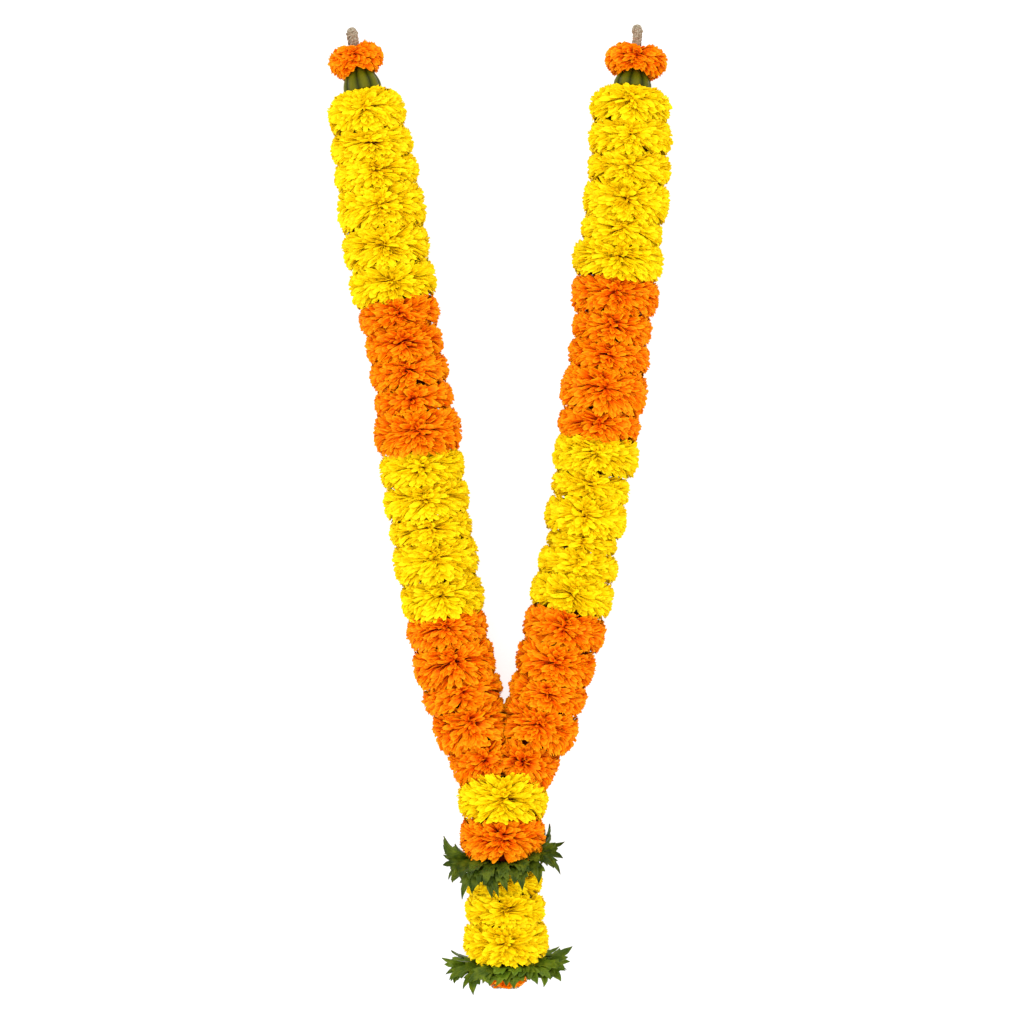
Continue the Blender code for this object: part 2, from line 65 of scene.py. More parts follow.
Colour = tuple[float, float, float]
Span = tuple[float, float]
Relief = Callable[[int, float, float], float]

BODY = "root"
UP = Vector((0.0, 0.0, 1.0))
GOLDEN_TURN = math.pi * (3.0 - math.sqrt(5.0))
CORD_HOLE = 0.0048


# ---------------------------------------------------------------- meshes and objects


def mesh_points(mesh: bpy.types.Mesh) -> np.ndarray:
    """The vertices of a mesh, one row each."""
    points = np.empty(len(mesh.vertices) * 3, np.float32)
    mesh.vertices.foreach_get("co", points)
    return points.reshape(-1, 3)


def set_attribute(mesh: bpy.types.Mesh, name: str, values: np.ndarray | list[float]) -> None:
    """Gives each point of a mesh its value of a new named attribute."""
    attribute = mesh.attributes.new(name, "FLOAT", "POINT")
    attribute.data.foreach_set("value", np.asarray(values, np.float32))


def link(name: str, data: bpy.types.ID | None) -> bpy.types.Object:
    """Puts data into the scene as an object at the origin."""
    obj = bpy.data.objects.new(name, data)
    bpy.context.scene.collection.objects.link(obj)
    return obj


def joined(meshes: list[bpy.types.Mesh]) -> bpy.types.Mesh:
    """Puts several meshes into the first, which keeps its attributes and materials."""
    objects = [link(mesh.name, mesh) for mesh in meshes]
    with bpy.context.temp_override(active_object=objects[0], selected_editable_objects=objects):
        bpy.ops.object.join()
    mesh = objects[0].data
    bpy.data.objects.remove(objects[0], do_unlink=True)
    return mesh


# ---------------------------------------------------------------- node trees


class Wire:
    """A value that runs between two nodes, with arithmetic that adds Math nodes."""

    def __init__(self, graph: "Graph", socket: bpy.types.NodeSocket) -> None:
        """Keeps the graph that the value belongs to and the socket that it leaves."""
        self.graph = graph
        self.socket = socket

    def __add__(self, other: "Wire | float") -> "Wire":
        """The sum of the two."""
        return self.graph.math("ADD", self, other)

    def __sub__(self, other: "Wire | float") -> "Wire":
        """This less the other."""
        return self.graph.math("SUBTRACT", self, other)

    def __rsub__(self, other: float) -> "Wire":
        """The other less this."""
        return self.graph.math("SUBTRACT", other, self)

    def __mul__(self, other: "Wire | float") -> "Wire":
        """The product of the two."""
        return self.graph.math("MULTIPLY", self, other)

    def __rmul__(self, other: float) -> "Wire":
        """The product of the two."""
        return self.graph.math("MULTIPLY", other, self)

    def __truediv__(self, other: "Wire | float") -> "Wire":
        """This divided by the other."""
        return self.graph.math("DIVIDE", self, other)


class Graph:
    """A node tree under construction, for geometry or for a material."""

    def __init__(self, tree: bpy.types.NodeTree) -> None:
        """Keeps the tree that the nodes go into."""
        self.tree = tree

    def node(self, kind: str, inputs: dict | None = None, **settings: object) -> bpy.types.Node:
        """Adds a node.

        Args:
            kind: Blender's type name of the node.
            inputs: What each input gets, by its name or number: a wire or a plain value.
            settings: The node's own properties.

        Returns:
            The new node.
        """
        node = self.tree.nodes.new(kind)
        for name, value in settings.items():
            setattr(node, name, value)
        for key, value in (inputs or {}).items():
            if isinstance(key, int):
                socket = node.inputs[key]
            else:
                socket = next(s for s in node.inputs if s.name == key and s.enabled)
            self.feed(socket, value)
        return node

    def feed(self, socket: bpy.types.NodeSocket, value: object) -> None:
        """Gives an input socket a wire or a plain value."""
        if isinstance(value, Wire):
            self.tree.links.new(value.socket, socket)
        else:
            socket.default_value = value

    def out(self, node: bpy.types.Node, name: str | int = 0) -> Wire:
        """The wire from one of a node's outputs."""
        live = [socket for socket in node.outputs if socket.enabled]
        if isinstance(name, int):
            return Wire(self, live[name])
        return Wire(self, next(socket for socket in live if socket.name == name))

    def add(self, kind: str, inputs: dict | None = None, **settings: object) -> Wire:
        """Adds a node and returns the wire from its first output."""
        return self.out(self.node(kind, inputs, **settings))

    def math(self, operation: str, *values: "Wire | float") -> Wire:
        """Adds a Math node on the values."""
        return self.add("ShaderNodeMath", dict(enumerate(values)), operation=operation)


class GeometryGraph(Graph):
    """A Geometry Nodes tree with named inputs, which one modifier runs on an object."""

    def __init__(self, name: str) -> None:
        """Starts an empty tree whose main input and output are geometry."""
        super().__init__(bpy.data.node_groups.new(name, "GeometryNodeTree"))
        self.tree.interface.new_socket("Geometry", in_out="OUTPUT", socket_type="NodeSocketGeometry")
        self.identifiers: dict[str, str] = {}
        self.entry = self.tree.nodes.new("NodeGroupInput")
        self.geometry = self.entrance("Geometry", "NodeSocketGeometry")

    def entrance(self, name: str, kind: str) -> Wire:
        """Adds a named input to the tree and returns its wire."""
        item = self.tree.interface.new_socket(name, in_out="INPUT", socket_type=kind)
        self.identifiers[name] = item.identifier
        return self.out(self.entry, name)

    def attribute(self, name: str) -> Wire:
        """The value of a named attribute of the geometry."""
        return self.add("GeometryNodeInputNamedAttribute", {"Name": name}, data_type="FLOAT")

    def close(self, geometry: Wire, material: Wire) -> None:
        """Ends the tree: gives the geometry its material and puts it out."""
        dressed = self.add("GeometryNodeSetMaterial", {"Geometry": geometry, "Material": material})
        self.node("NodeGroupOutput", {"Geometry": dressed})

    def run(self, source: bpy.types.ID, values: dict[str, object]) -> bpy.types.Mesh:
        """Runs the tree on a mesh or curve.

        Args:
            source: The mesh or curve data that the tree starts from. It is used up.
            values: What each named input gets.

        Returns:
            The plain mesh that the tree makes.
        """
        carrier = link("carrier", source)
        modifier = carrier.modifiers.new("shape", "NODES")
        modifier.node_group = self.tree
        for name, value in values.items():
            modifier[self.identifiers[name]] = value
        graph = bpy.context.evaluated_depsgraph_get()
        mesh = bpy.data.meshes.new_from_object(
            carrier.evaluated_get(graph), preserve_all_data_layers=True, depsgraph=graph)
        bpy.data.objects.remove(carrier, do_unlink=True)
        return mesh


# ---------------------------------------------------------------- finishes


class Shader(Graph):
    """A material's node tree around one Principled shader."""

    def __init__(self, name: str) -> None:
        """Starts a material of the given name with a bare Principled shader."""
        self.material = bpy.data.materials.new(f"fresh_{name}")
        self.material.use_nodes = True
        super().__init__(self.material.node_tree)
        self.principled = self.tree.nodes["Principled BSDF"]

    def set(self, name: str, value: "Wire | float | tuple") -> None:
        """Gives the shader's socket a plain value or a wire."""
        self.feed(self.principled.inputs[name], value)

    def attribute(self, name: str) -> Wire:
        """The value of a named attribute of the piece."""
        return self.out(self.node("ShaderNodeAttribute", attribute_name=name), "Fac")

    def coordinate(self, name: str) -> Wire:
        """One of the texture coordinates, such as UV or Object."""
        return self.out(self.node("ShaderNodeTexCoord"), name)

    def ramp(self, value: Wire, *stops: tuple[float, Colour]) -> Wire:
        """A colour that runs through stops, each a place from 0 to 1 and a colour."""
        node = self.node("ShaderNodeValToRGB", {"Fac": value})
        elements = node.color_ramp.elements
        while len(elements) < len(stops):
            elements.new(0.5)
        for element, (place, colour) in zip(elements, stops):
            element.position = place
            element.color = (*colour, 1.0)
        return self.out(node)

    def mask(self, value: Wire, start: float, end: float, first: float, last: float) -> Wire:
        """A grey that runs from a first to a last strength between two places of a value."""
        return self.ramp(value, (start, (first,) * 3), (end, (last,) * 3))

    def mix(self, share: Wire, first: "Wire | Colour", second: "Wire | Colour",
            blend: str = "MIX") -> Wire:
        """Mixes two colours by a share."""
        first, second = (value if isinstance(value, Wire) else (*value, 1.0) for value in (first, second))
        return self.add("ShaderNodeMix", {"Factor": share, "A": first, "B": second},
                        data_type="RGBA", blend_type=blend)

    def stretched_noise(self, coordinate: Wire, scale: tuple[float, float, float],
                        detail: float = 2.0, roughness: float = 0.5) -> Wire:
        """Noise on coordinates that are stretched by a scale on each axis."""
        mapped = self.add("ShaderNodeMapping", {"Vector": coordinate, "Scale": scale})
        return self.add("ShaderNodeTexNoise", {"Vector": mapped, "Scale": 1.0, "Detail": detail,
                                               "Roughness": roughness})

    def close(self, colour: Wire, roughness: float, specular: float, relief: Wire,
              height: float) -> bpy.types.Material:
        """Ends the tree.

        Args:
            colour: The surface's colour.
            roughness: How matte it is.
            specular: How strongly it shines.
            relief: The height field that raises it.
            height: How high the field's full strength stands, in metres.

        Returns:
            The finished material.
        """
        self.set("Base Color", colour)
        self.set("Roughness", roughness)
        self.set("Specular IOR Level", specular)
        self.set("Normal", self.add("ShaderNodeBump", {"Height": relief, "Distance": height,
                                                       "Strength": 1.0}))
        return self.material


@dataclass(frozen=True)
class PetalFinish:
    """Soft matte petals: darker and redder towards the root, partly the petals' own deeper colour and
    partly painted shade of the head's depths; bright towards the tip; fine streaks along.
    """

    slot: str
    # depth and root: the petals' deeper inner colour, darkened further with painted shade of the head's
    # depths.
    depth: Colour
    root: Colour
    body: Colour
    tip: Colour
    shade: Colour
    stops: tuple[float, ...] = (0.0, 0.34, 0.74, 0.98)
    roughness: float = 0.55
    specular: float = 0.06
    streak_scale: tuple[float, float, float] = (16.0, 1.6, 1.0)
    streak_shade: float = 0.30
    streak_height: float = 0.00012
    tint_shade: float = 0.55
    # How dark and how wide the line down each petal's middle is: painted shade of a crease.
    painted_crease_shade: float = 0.75
    painted_crease_width: float = 0.13

    def make(self) -> bpy.types.Material:
        """Builds the material."""
        shader = Shader(self.slot)
        uv = shader.coordinate("UV")
        split = shader.node("ShaderNodeSeparateXYZ", {"Vector": uv})
        colours = (self.depth, self.root, self.body, self.tip)
        # Along the petal from root to tip; the dark stops at the root are partly painted shade deep in the
        # head.
        base = shader.ramp(shader.out(split, "Y"), *zip(self.stops, colours))
        streaks = shader.stretched_noise(uv, self.streak_scale, 3.0)
        # Each petal darkened by its random tone, and at the head's middle by painted shade for the dark
        # gaps there.
        toned_with_painted_shade = shader.mix(shader.attribute("tint") * self.tint_shade, base, self.shade, "MULTIPLY")
        # A darker line down the middle of each petal: painted shade of a crease that the blades don't
        # have, which makes each petal read as two narrower ones.
        middle = shader.math("ABSOLUTE", shader.out(split, "X") - 0.5)
        painted_crease = shader.mask(middle, 0.0, self.painted_crease_width, self.painted_crease_shade, 0.0)
        folded = shader.mix(painted_crease, toned_with_painted_shade, self.shade, "MULTIPLY")
        streak = shader.mask(streaks, 0.35, 0.7, 0.0, self.streak_shade)
        colour = shader.mix(streak, folded, self.shade, "MULTIPLY")
        return shader.close(colour, self.roughness, self.specular, streaks, self.streak_height)


@dataclass(frozen=True)
class LeafFinish:
    """Satin leaves with a paler midrib and side veins, and a yellower or bluer cast by leaf."""

    slot: str
    deep: Colour
    body: Colour
    bright: Colour
    vein: Colour
    roughness: float = 0.42
    specular: float = 0.13
    midrib_thinness: float = 9.0
    veins: float = 9.0
    vein_slant: float = 0.165
    vein_sharpness: float = 6.0
    vein_strength: float = 0.40
    vein_height: float = 0.00025
    mottle_scale: float = 150.0
    mottle_strength: float = 0.55

    def make(self) -> bpy.types.Material:
        """Builds the material."""
        shader = Shader(self.slot)
        split = shader.node("ShaderNodeSeparateXYZ", {"Vector": shader.coordinate("UV")})
        across = shader.math("ABSOLUTE", shader.out(split, "X") - 0.5) * 2.0
        midrib = 1.0 - shader.math("SMOOTH_MIN", across * self.midrib_thinness, 1.0, 0.3)
        slanted = (shader.out(split, "Y") - across * self.vein_slant) * self.veins
        wave = shader.math("PINGPONG", slanted, 0.5) * 2.0
        side_vein = shader.math("POWER", wave, self.vein_sharpness) * (1.0 - across * 0.6)
        veins = shader.math("MAXIMUM", midrib, side_vein * 0.6)
        mottle = shader.stretched_noise(shader.coordinate("Object"), (self.mottle_scale,) * 3, 3.0)
        base = shader.mix(shader.attribute("tint") * 0.8 + 0.2, self.deep, self.body)
        lit = shader.mix(shader.mask(mottle, 0.40, 0.80, 0.0, self.mottle_strength), base, self.bright)
        colour = shader.mix(veins * self.vein_strength, lit, self.vein)
        relief = veins * -1.0 + mottle * 0.15
        return shader.close(colour, self.roughness, self.specular, relief, self.vein_height)


@dataclass(frozen=True)
class CalyxFinish:
    """Smooth green cup: pale ribs and darker furrows that follow its relief, painted highlight on the ribs
    and painted shade in the furrows, under darker streaks.
    """

    slot: str
    furrow: Colour
    body: Colour
    rib: Colour
    roughness: float = 0.38
    specular: float = 0.08
    streak_scale: tuple[float, float, float] = (900.0, 120.0, 900.0)
    streak_height: float = 0.0001

    def make(self) -> bpy.types.Material:
        """Builds the material."""
        shader = Shader(self.slot)
        ribs = shader.attribute("rib")
        # Pale on the ribs, dark in the furrows: painted highlight and painted shade that follow the
        # relief.
        base = shader.ramp(ribs, (0.05, self.furrow), (0.5, self.body), (0.95, self.rib))
        streaks = shader.stretched_noise(shader.coordinate("Object"), self.streak_scale, 3.0)
        colour = shader.mix(streaks * 0.5, base, self.furrow)
        return shader.close(colour, self.roughness, self.specular, streaks, self.streak_height)


@dataclass(frozen=True)
class JuteFinish:
    """Twisted natural fibre: pale and dark hairs laid along each strand, darker in the furrows between
    strands with painted shade.
    """

    slot: str
    dark: Colour
    body: Colour
    pale: Colour
    roughness: float = 0.9
    specular: float = 0.15
    speckle_scale: float = 900.0
    hair_scale: tuple[float, float, float] = (2600.0, 700.0, 2600.0)
    hair_height: float = 0.0003

    def make(self) -> bpy.types.Material:
        """Builds the material."""
        shader = Shader(self.slot)
        place = shader.coordinate("Object")
        speckle = shader.stretched_noise(place, (self.speckle_scale,) * 3, 4.0, 0.65)
        hairs = shader.stretched_noise(place, self.hair_scale, 2.0)
        base = shader.ramp(speckle, (0.33, self.dark), (0.5, self.body), (0.66, self.pale))
        # Darker between the strands: painted shade in the rope's furrows.
        furrow = (1.0 - shader.attribute("lobe")) * 0.7
        colour = shader.mix(furrow, base, self.dark, "MULTIPLY")
        return shader.close(colour, self.roughness, self.specular, speckle + hairs, self.hair_height)


@dataclass(frozen=True)
class FloorFinish:
    """A plain, nearly white table top, lit a little from below as a light table is."""

    colour: Colour = (0.35, 0.35, 0.35)
    glow: float = 0.80

    def make(self) -> bpy.types.Material:
        """Builds the material."""
        shader = Shader("floor_white")
        shader.set("Base Color", (*self.colour, 1.0))
        shader.set("Roughness", 0.9)
        shader.set("Emission Color", (1.0, 1.0, 1.0, 1.0))
        shader.set("Emission Strength", self.glow)
        return shader.material


class Finish(Enum):
    """The finishes of the garland, each named as the record's slot."""

    # Each petal finish lists depth, root, body, tip and shade; its depth and root colours carry painted
    # shade of the head's depths.
    YELLOW = PetalFinish("yellow_petals", (0.16, 0.045, 0.001), (1.0, 0.74, 0.002),
                         (1.0, 0.795, 0.003), (1.0, 0.77, 0.004), (1.0, 0.88, 0.50))
    ORANGE = PetalFinish("orange_petals", (0.12, 0.006, 0.0005), (0.70, 0.060, 0.001),
                         (0.97, 0.245, 0.001), (1.0, 0.40, 0.002), (1.0, 0.60, 0.30))
    LEAF = LeafFinish("leaf_green", (0.004, 0.012, 0.001), (0.086, 0.148, 0.005),
                      (0.225, 0.270, 0.010), (0.17, 0.23, 0.020))
    CALYX = CalyxFinish("calyx_green", (0.022, 0.026, 0.001), (0.075, 0.085, 0.002),
                        (0.150, 0.150, 0.004))
    JUTE = JuteFinish("jute", (0.12, 0.08, 0.04), (0.33, 0.26, 0.17), (0.60, 0.54, 0.44))

    @cache
    def material(self) -> bpy.types.Material:
        """The material of this finish, made on first use."""
        return self.value.make()


# ---------------------------------------------------------------- places, read from the frame


class CordLine:
    """The middle line of one or more cords of the frame."""

    def __init__(self, *cords: bpy.types.Object) -> None:
        """Reads the edges of the cords' solids."""
        self.edges = []
        for cord in cords:
            points = mesh_points(cord.data).astype(float)
            pairs = np.array([edge.vertices[:] for edge in cord.data.edges])
            self.edges.append((points[pairs[:, 0]], points[pairs[:, 1]]))
        self.top = min(max(a[:, 1].max(), b[:, 1].max()) for a, b in self.edges)
        self.bottom = max(min(a[:, 1].min(), b[:, 1].min()) for a, b in self.edges)

    def at(self, y: float, margin: float = 0.001) -> Vector:
        """The point of the line at a height y along the garland, kept a margin within its ends."""
        level = min(max(y, self.bottom + margin), self.top - margin)
        middles = []
        for a, b in self.edges:
            crossing = (a[:, 1] - level) * (b[:, 1] - level) < 0
            start, end = a[crossing], b[crossing]
            share = (level - start[:, 1:2]) / (end[:, 1:2] - start[:, 1:2])
            cut = start + (end - start) * share
            middles.append((cut.min(0) + cut.max(0)) / 2)
        x, _, z = np.mean(middles, 0)
        return Vector((x, y, z))

    def direction(self, y: float, step: float = 0.004) -> Vector:
        """The unit vector down the line at a height y."""
        return (self.at(y - step) - self.at(y + step)).normalized()


@dataclass(frozen=True)
class Seat:
    """Where a piece sits on its cord: its middle, the way down the line, and its reach."""

    centre: Vector
    axis: Vector
    depth: float
    radius: float

    @classmethod
    def of(cls, node: bpy.types.Object, line: CordLine) -> "Seat":
        """Reads a node's seat from its solid.

        Args:
            node: The node of the frame.
            line: The cord that the node is strung on.

        Returns:
            The seat, with the node's depth along the cord and its radius around it.
        """
        points = mesh_points(node.data).astype(float)
        height = float(points[:, 1].min() + points[:, 1].max()) / 2
        axis = line.direction(height)
        centre = line.at(height)
        offsets = points - np.array(centre)
        along = offsets @ np.array(axis)
        outward = np.linalg.norm(offsets - along[:, None] * np.array(axis), axis=1)
        middle = float(along.min() + along.max()) / 2
        return cls(centre + axis * middle, axis, float(along.max() - along.min()), float(outward.max()))

    @classmethod
    def between(cls, above: "Seat", below: "Seat") -> "Seat":
        """The seat of what is strung between two others."""
        top = above.centre + above.axis * (above.depth / 2.0)
        bottom = below.centre - below.axis * (below.depth / 2.0)
        return cls((top + bottom) / 2.0, above.axis, (bottom - top).length, above.radius)

    def tilted(self, degrees: float) -> "Seat":
        """The seat turned on the surface, its right-hand side up the line."""
        turn = Matrix.Rotation(math.radians(degrees), 3, UP)
        return Seat(self.centre, turn @ self.axis, self.depth, self.radius)

    def matrix(self) -> Matrix:
        """Turns local axes into the frame's: x sideways, y up, z down the line."""
        upward = (UP - self.axis * UP.dot(self.axis)).normalized()
        side = upward.cross(self.axis)
        turned = Matrix((side, upward, self.axis)).transposed()
        return Matrix.Translation(self.centre) @ turned.to_4x4()


def soft_floor(values: np.ndarray, limit: float, soft: float) -> np.ndarray:
    """Presses values that come under limit + soft up above the limit, and keeps their order."""
    room = values - limit
    pressed = soft * np.exp(np.minimum(room / soft - 1.0, 0.0))
    return limit + np.where(room < soft, pressed, room)


@dataclass(frozen=True)
class Limits:
    """The surface under a piece, and the parting between the strands that it keeps to."""

    floor: float = 0.0006
    floor_soft: float = 0.006
    parting: float | None = None
    parting_side: float = 1.0
    parting_soft: float = 0.004
    parting_lap: float = 0.0022
    wave_height: float = 0.0022
    ripple_share: float = 0.6
    waves: float = 290.0
    ripples: float = 710.0
    ripple_slant: float = 160.0

    def press(self, mesh: bpy.types.Mesh) -> None:
        """Moves the vertices of a placed mesh inside the limits."""
        points = mesh_points(mesh)
        points[:, 2] = soft_floor(points[:, 2], self.floor, self.floor_soft)
        if self.parting is not None:
            side, y, z = self.parting_side, points[:, 1], points[:, 2]
            wave = np.sin(y * self.waves)
            wave = wave + self.ripple_share * np.sin(y * self.ripples + z * self.ripple_slant)
            past = points[:, 0] - self.parting - self.wave_height * wave
            points[:, 0] += side * soft_floor(past * side, -self.parting_lap, self.parting_soft) - past
        mesh.vertices.foreach_set("co", points.ravel())


def finish_piece(name: str, mesh: bpy.types.Mesh, finish: Finish, *nodes: str) -> bpy.types.Object:
    """Makes a finished piece of a placed mesh and ties it to the frame.

    Args:
        name: The piece's name.
        mesh: Its mesh, in place.
        finish: Its finish; not used.
        nodes: The nodes of the frame that it stands for.

    Returns:
        The piece's object, at the origin.
    """
    mesh.shade_smooth()
    mesh.name = name
    piece = link(name, mesh)
    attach(piece, BODY)
    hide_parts(*nodes)
    log.info("%s: %d triangles", name, sum(len(face.vertices) - 2 for face in mesh.polygons))
    return piece


# ---------------------------------------------------------------- blades: petals and leaves


@dataclass
class Blade:
    """A flat, closed blade of unit length, cut to an outline, from which petals and leaves are bent.

    x runs across, y from the root at 0 to the tip at 1, and z is the blade's face. Across and z
    are in half-widths.
    """

    outline: tuple[tuple[float, float], ...]
    across: int
    thickness: float
    cup: float = 0.0
    ruffle: float = 0.0
    groove: float = 0.0
    groove_thinness: float = 2.5
    teeth: dict[int, float] = field(default_factory=dict)
    lobes: tuple[float, ...] = ()

    def mesh(self, name: str, rng: np.random.Generator) -> bpy.types.Mesh:
        """Builds the blade.

        Args:
            name: The mesh's name.
            rng: Draws the ruffles.

        Returns:
            A closed mesh with a UV map, u across and v along.
        """
        columns = np.linspace(-1.0, 1.0, self.across)
        waves = rng.normal(0.0, self.ruffle, self.across)
        lobes = np.array(self.lobes or (0.0,) * self.across)
        last = len(self.outline) - 1
        front, uvs = [], []
        for row, (along, half) in enumerate(self.outline):
            for column, x in enumerate(columns):
                edge = column in (0, self.across - 1)
                y = along + (self.teeth.get(row, 0.0) if edge else 0.0)
                y += lobes[column] * along ** 4
                z = self.cup * x * x * half + waves[column] * along ** 3
                z -= self.groove * max(0.0, 1.0 - self.groove_thinness * abs(x)) * half
                front.append((x * half, y, z))
                uvs.append(((x + 1.0) / 2.0, along))
        count = len(front)
        inner = [row * self.across + column for row in range(1, last)
                 for column in range(1, self.across - 1)]
        back = {index: count + order for order, index in enumerate(inner)}
        vertices = list(front)
        for index in inner:
            x, y, z = front[index]
            vertices[index] = (x, y, z + self.thickness)
            vertices.append((x, y, z - self.thickness))
        faces = []
        for row in range(last):
            for column in range(self.across - 1):
                a = row * self.across + column
                corners = (a, a + 1, a + self.across + 1, a + self.across)
                faces.append(corners)
                faces.append(tuple(back.get(i, i) for i in reversed(corners)))
        mesh = bpy.data.meshes.new(name)
        mesh.from_pydata(vertices, [], faces)
        layer = mesh.uv_layers.new(name="UVMap")
        flat = uvs + [uvs[i] for i in inner]
        for loop, entry in zip(mesh.loops, layer.data):
            entry.uv = flat[loop.vertex_index]
        mesh.shade_smooth()
        for edge in mesh.edges:
            edge.use_edge_sharp = all(end < count and end not in back for end in edge.vertices)
        return mesh


@dataclass
class Spray:
    """Blades that stand around one axis, each bent along its own curve.

    Each array has one value for each blade. Depths are down the axis and radii out from it.
    """

    turn: np.ndarray
    root: tuple[np.ndarray, np.ndarray]
    bend: tuple[np.ndarray, np.ndarray]
    tip: tuple[np.ndarray, np.ndarray]
    half_width: np.ndarray
    twist: np.ndarray
    lean: np.ndarray
    side: np.ndarray
    # Each blade's random tone; for petals at a head's middle it also carries painted shade.
    tint: np.ndarray

    def __add__(self, other: "Spray") -> "Spray":
        """Both sprays as one."""
        return Spray(*(
            tuple(np.concatenate(pair) for pair in zip(mine, theirs)) if isinstance(mine, tuple)
            else np.concatenate((mine, theirs))
            for mine, theirs in zip(vars(self).values(), vars(other).values())))

    def points(self) -> bpy.types.Mesh:
        """One point for each blade, at the origin, that carries its values."""
        values = {"blade_turn": self.turn, "blade_half_width": self.half_width, "tint": self.tint,
                  "blade_twist": self.twist, "blade_lean": self.lean, "blade_side": self.side}
        for name, (depths, radii) in (("root", self.root), ("bend", self.bend), ("tip", self.tip)):
            values[f"blade_{name}_depth"] = depths
            values[f"blade_{name}_radius"] = radii
        mesh = bpy.data.meshes.new("spray_points")
        mesh.from_pydata([(0.0, 0.0, 0.0)] * len(self.turn), [], [])
        for name, data in values.items():
            set_attribute(mesh, name, data)
        return mesh


class BladeTree:
    """The tree that puts one blade on each point of a spray and bends it along its curve."""

    def __init__(self) -> None:
        """Builds the tree."""
        graph = GeometryGraph("bent_blades")
        blades = graph.entrance("Blades", "NodeSocketCollection")
        kinds = graph.entrance("Kinds", "NodeSocketInt")
        seed = graph.entrance("Seed", "NodeSocketInt")
        material = graph.entrance("Material", "NodeSocketMaterial")
        shapes = graph.add("GeometryNodeCollectionInfo",
                           {"Collection": blades, "Separate Children": True, "Reset Children": True})
        pick = graph.add("FunctionNodeRandomValue", {"Min": 0, "Max": kinds - 1.0, "Seed": seed},
                         data_type="INT")
        placed = graph.add("GeometryNodeInstanceOnPoints",
                           {"Points": graph.geometry, "Instance": shapes, "Pick Instance": True,
                            "Instance Index": pick})
        real = graph.add("GeometryNodeRealizeInstances", {"Geometry": placed})
        bent = graph.add("GeometryNodeSetPosition",
                         {"Geometry": real, "Position": self.bent_position(graph)})
        clean = graph.add("GeometryNodeRemoveAttribute", {"Geometry": bent, "Name": "blade_*"},
                          pattern_mode="WILDCARD")
        graph.close(clean, material)
        self.graph = graph

    @staticmethod
    def bent_position(graph: GeometryGraph) -> Wire:
        """The place of a blade's vertex once it is bent along a three-point curve and turned.

        The curve also leans round the axis: the root stands the blade's lean back from the tip.

        Args:
            graph: The tree.

        Returns:
            The wire of the new position.
        """
        split = graph.node("ShaderNodeSeparateXYZ", {"Vector": graph.add("GeometryNodeInputPosition")})
        t = graph.out(split, "Y")
        left = 1.0 - t
        half_width = graph.attribute("blade_half_width")
        across = graph.out(split, "X") * half_width
        lift = graph.out(split, "Z") * half_width
        places, slopes = [], []
        for name in ("depth", "radius"):
            root, bend, tip = (graph.attribute(f"blade_{part}_{name}") for part in ("root", "bend", "tip"))
            places.append(left * left * root + 2.0 * t * left * bend + t * t * tip)
            slopes.append(left * (bend - root) + t * (tip - bend))
        speed = graph.math("SQRT", slopes[0] * slopes[0] + slopes[1] * slopes[1])
        down, out = slopes[0] / speed, slopes[1] / speed
        twist = graph.attribute("blade_twist") * t
        side = graph.attribute("blade_side")
        cosine, sine = graph.math("COSINE", twist), graph.math("SINE", twist)
        sideways = side * (across * cosine - lift * sine)
        facing = side * (across * sine + lift * cosine)
        lean = graph.attribute("blade_lean")
        slide = 0.5 * lean * places[1]
        pace = graph.math("SQRT", speed * speed + slide * slide)
        back = sideways * slide / pace
        sideways = sideways * speed / pace
        depth = places[0] - facing * out - back * down
        radius = places[1] + facing * down - back * out
        turn = graph.attribute("blade_turn") - lean * left
        cosine, sine = graph.math("COSINE", turn), graph.math("SINE", turn)
        return graph.add("ShaderNodeCombineXYZ", {"X": radius * cosine - sideways * sine,
                                                  "Y": radius * sine + sideways * cosine, "Z": depth})

    def run(self, spray: Spray, blades: bpy.types.Collection, finish: Finish, seed: int) -> bpy.types.Mesh:
        """Makes the mesh of a whole spray.

        Args:
            spray: The blades' places and curves.
            blades: The flat blades to pick from.
            finish: The finish of the blades.
            seed: Picks a blade for each point.

        Returns:
            The mesh, in the spray's local axes.
        """
        return self.graph.run(spray.points(), {"Blades": blades, "Kinds": len(blades.objects),
                                               "Seed": seed, "Material": finish.material()})


def blade_set(name: str, kinds: list[Blade], seed: int) -> bpy.types.Collection:
    """A collection of flat blades that sprays are made from.

    Args:
        name: The collection's name.
        kinds: The blades in it.
        seed: Draws their ruffles.

    Returns:
        The collection, which isn't in the scene.
    """
    collection = bpy.data.collections.new(name)
    rng = np.random.default_rng(seed)
    for number, blade in enumerate(kinds):
        mesh = blade.mesh(f"{name}_{number}", rng)
        collection.objects.link(bpy.data.objects.new(mesh.name, mesh))
    return collection


def petal_blades() -> bpy.types.Collection:
    """Petals that widen from a narrow root to a rounded, ruffled and notched tip."""
    outline = ((0.0, 0.50), (0.60, 0.90), (1.0, 0.88))
    lobes = ((-0.20, 0.0, -0.03, 0.01, -0.16), (-0.15, -0.02, 0.01, -0.03, -0.19),
             (-0.21, 0.01, -0.02, 0.0, -0.15), (-0.17, -0.02, 0.02, -0.03, -0.18),
             (-0.16, 0.0, -0.03, 0.01, -0.20), (-0.19, -0.03, 0.01, -0.01, -0.15))
    cups = (0.30, 0.15, 0.40, 0.10, 0.25, 0.05)
    kinds = [Blade(outline, across=5, thickness=0.07, cup=cup, ruffle=0.13, lobes=lobe)
             for lobe, cup in zip(lobes, cups)]
    return blade_set("petal", kinds, seed=7)


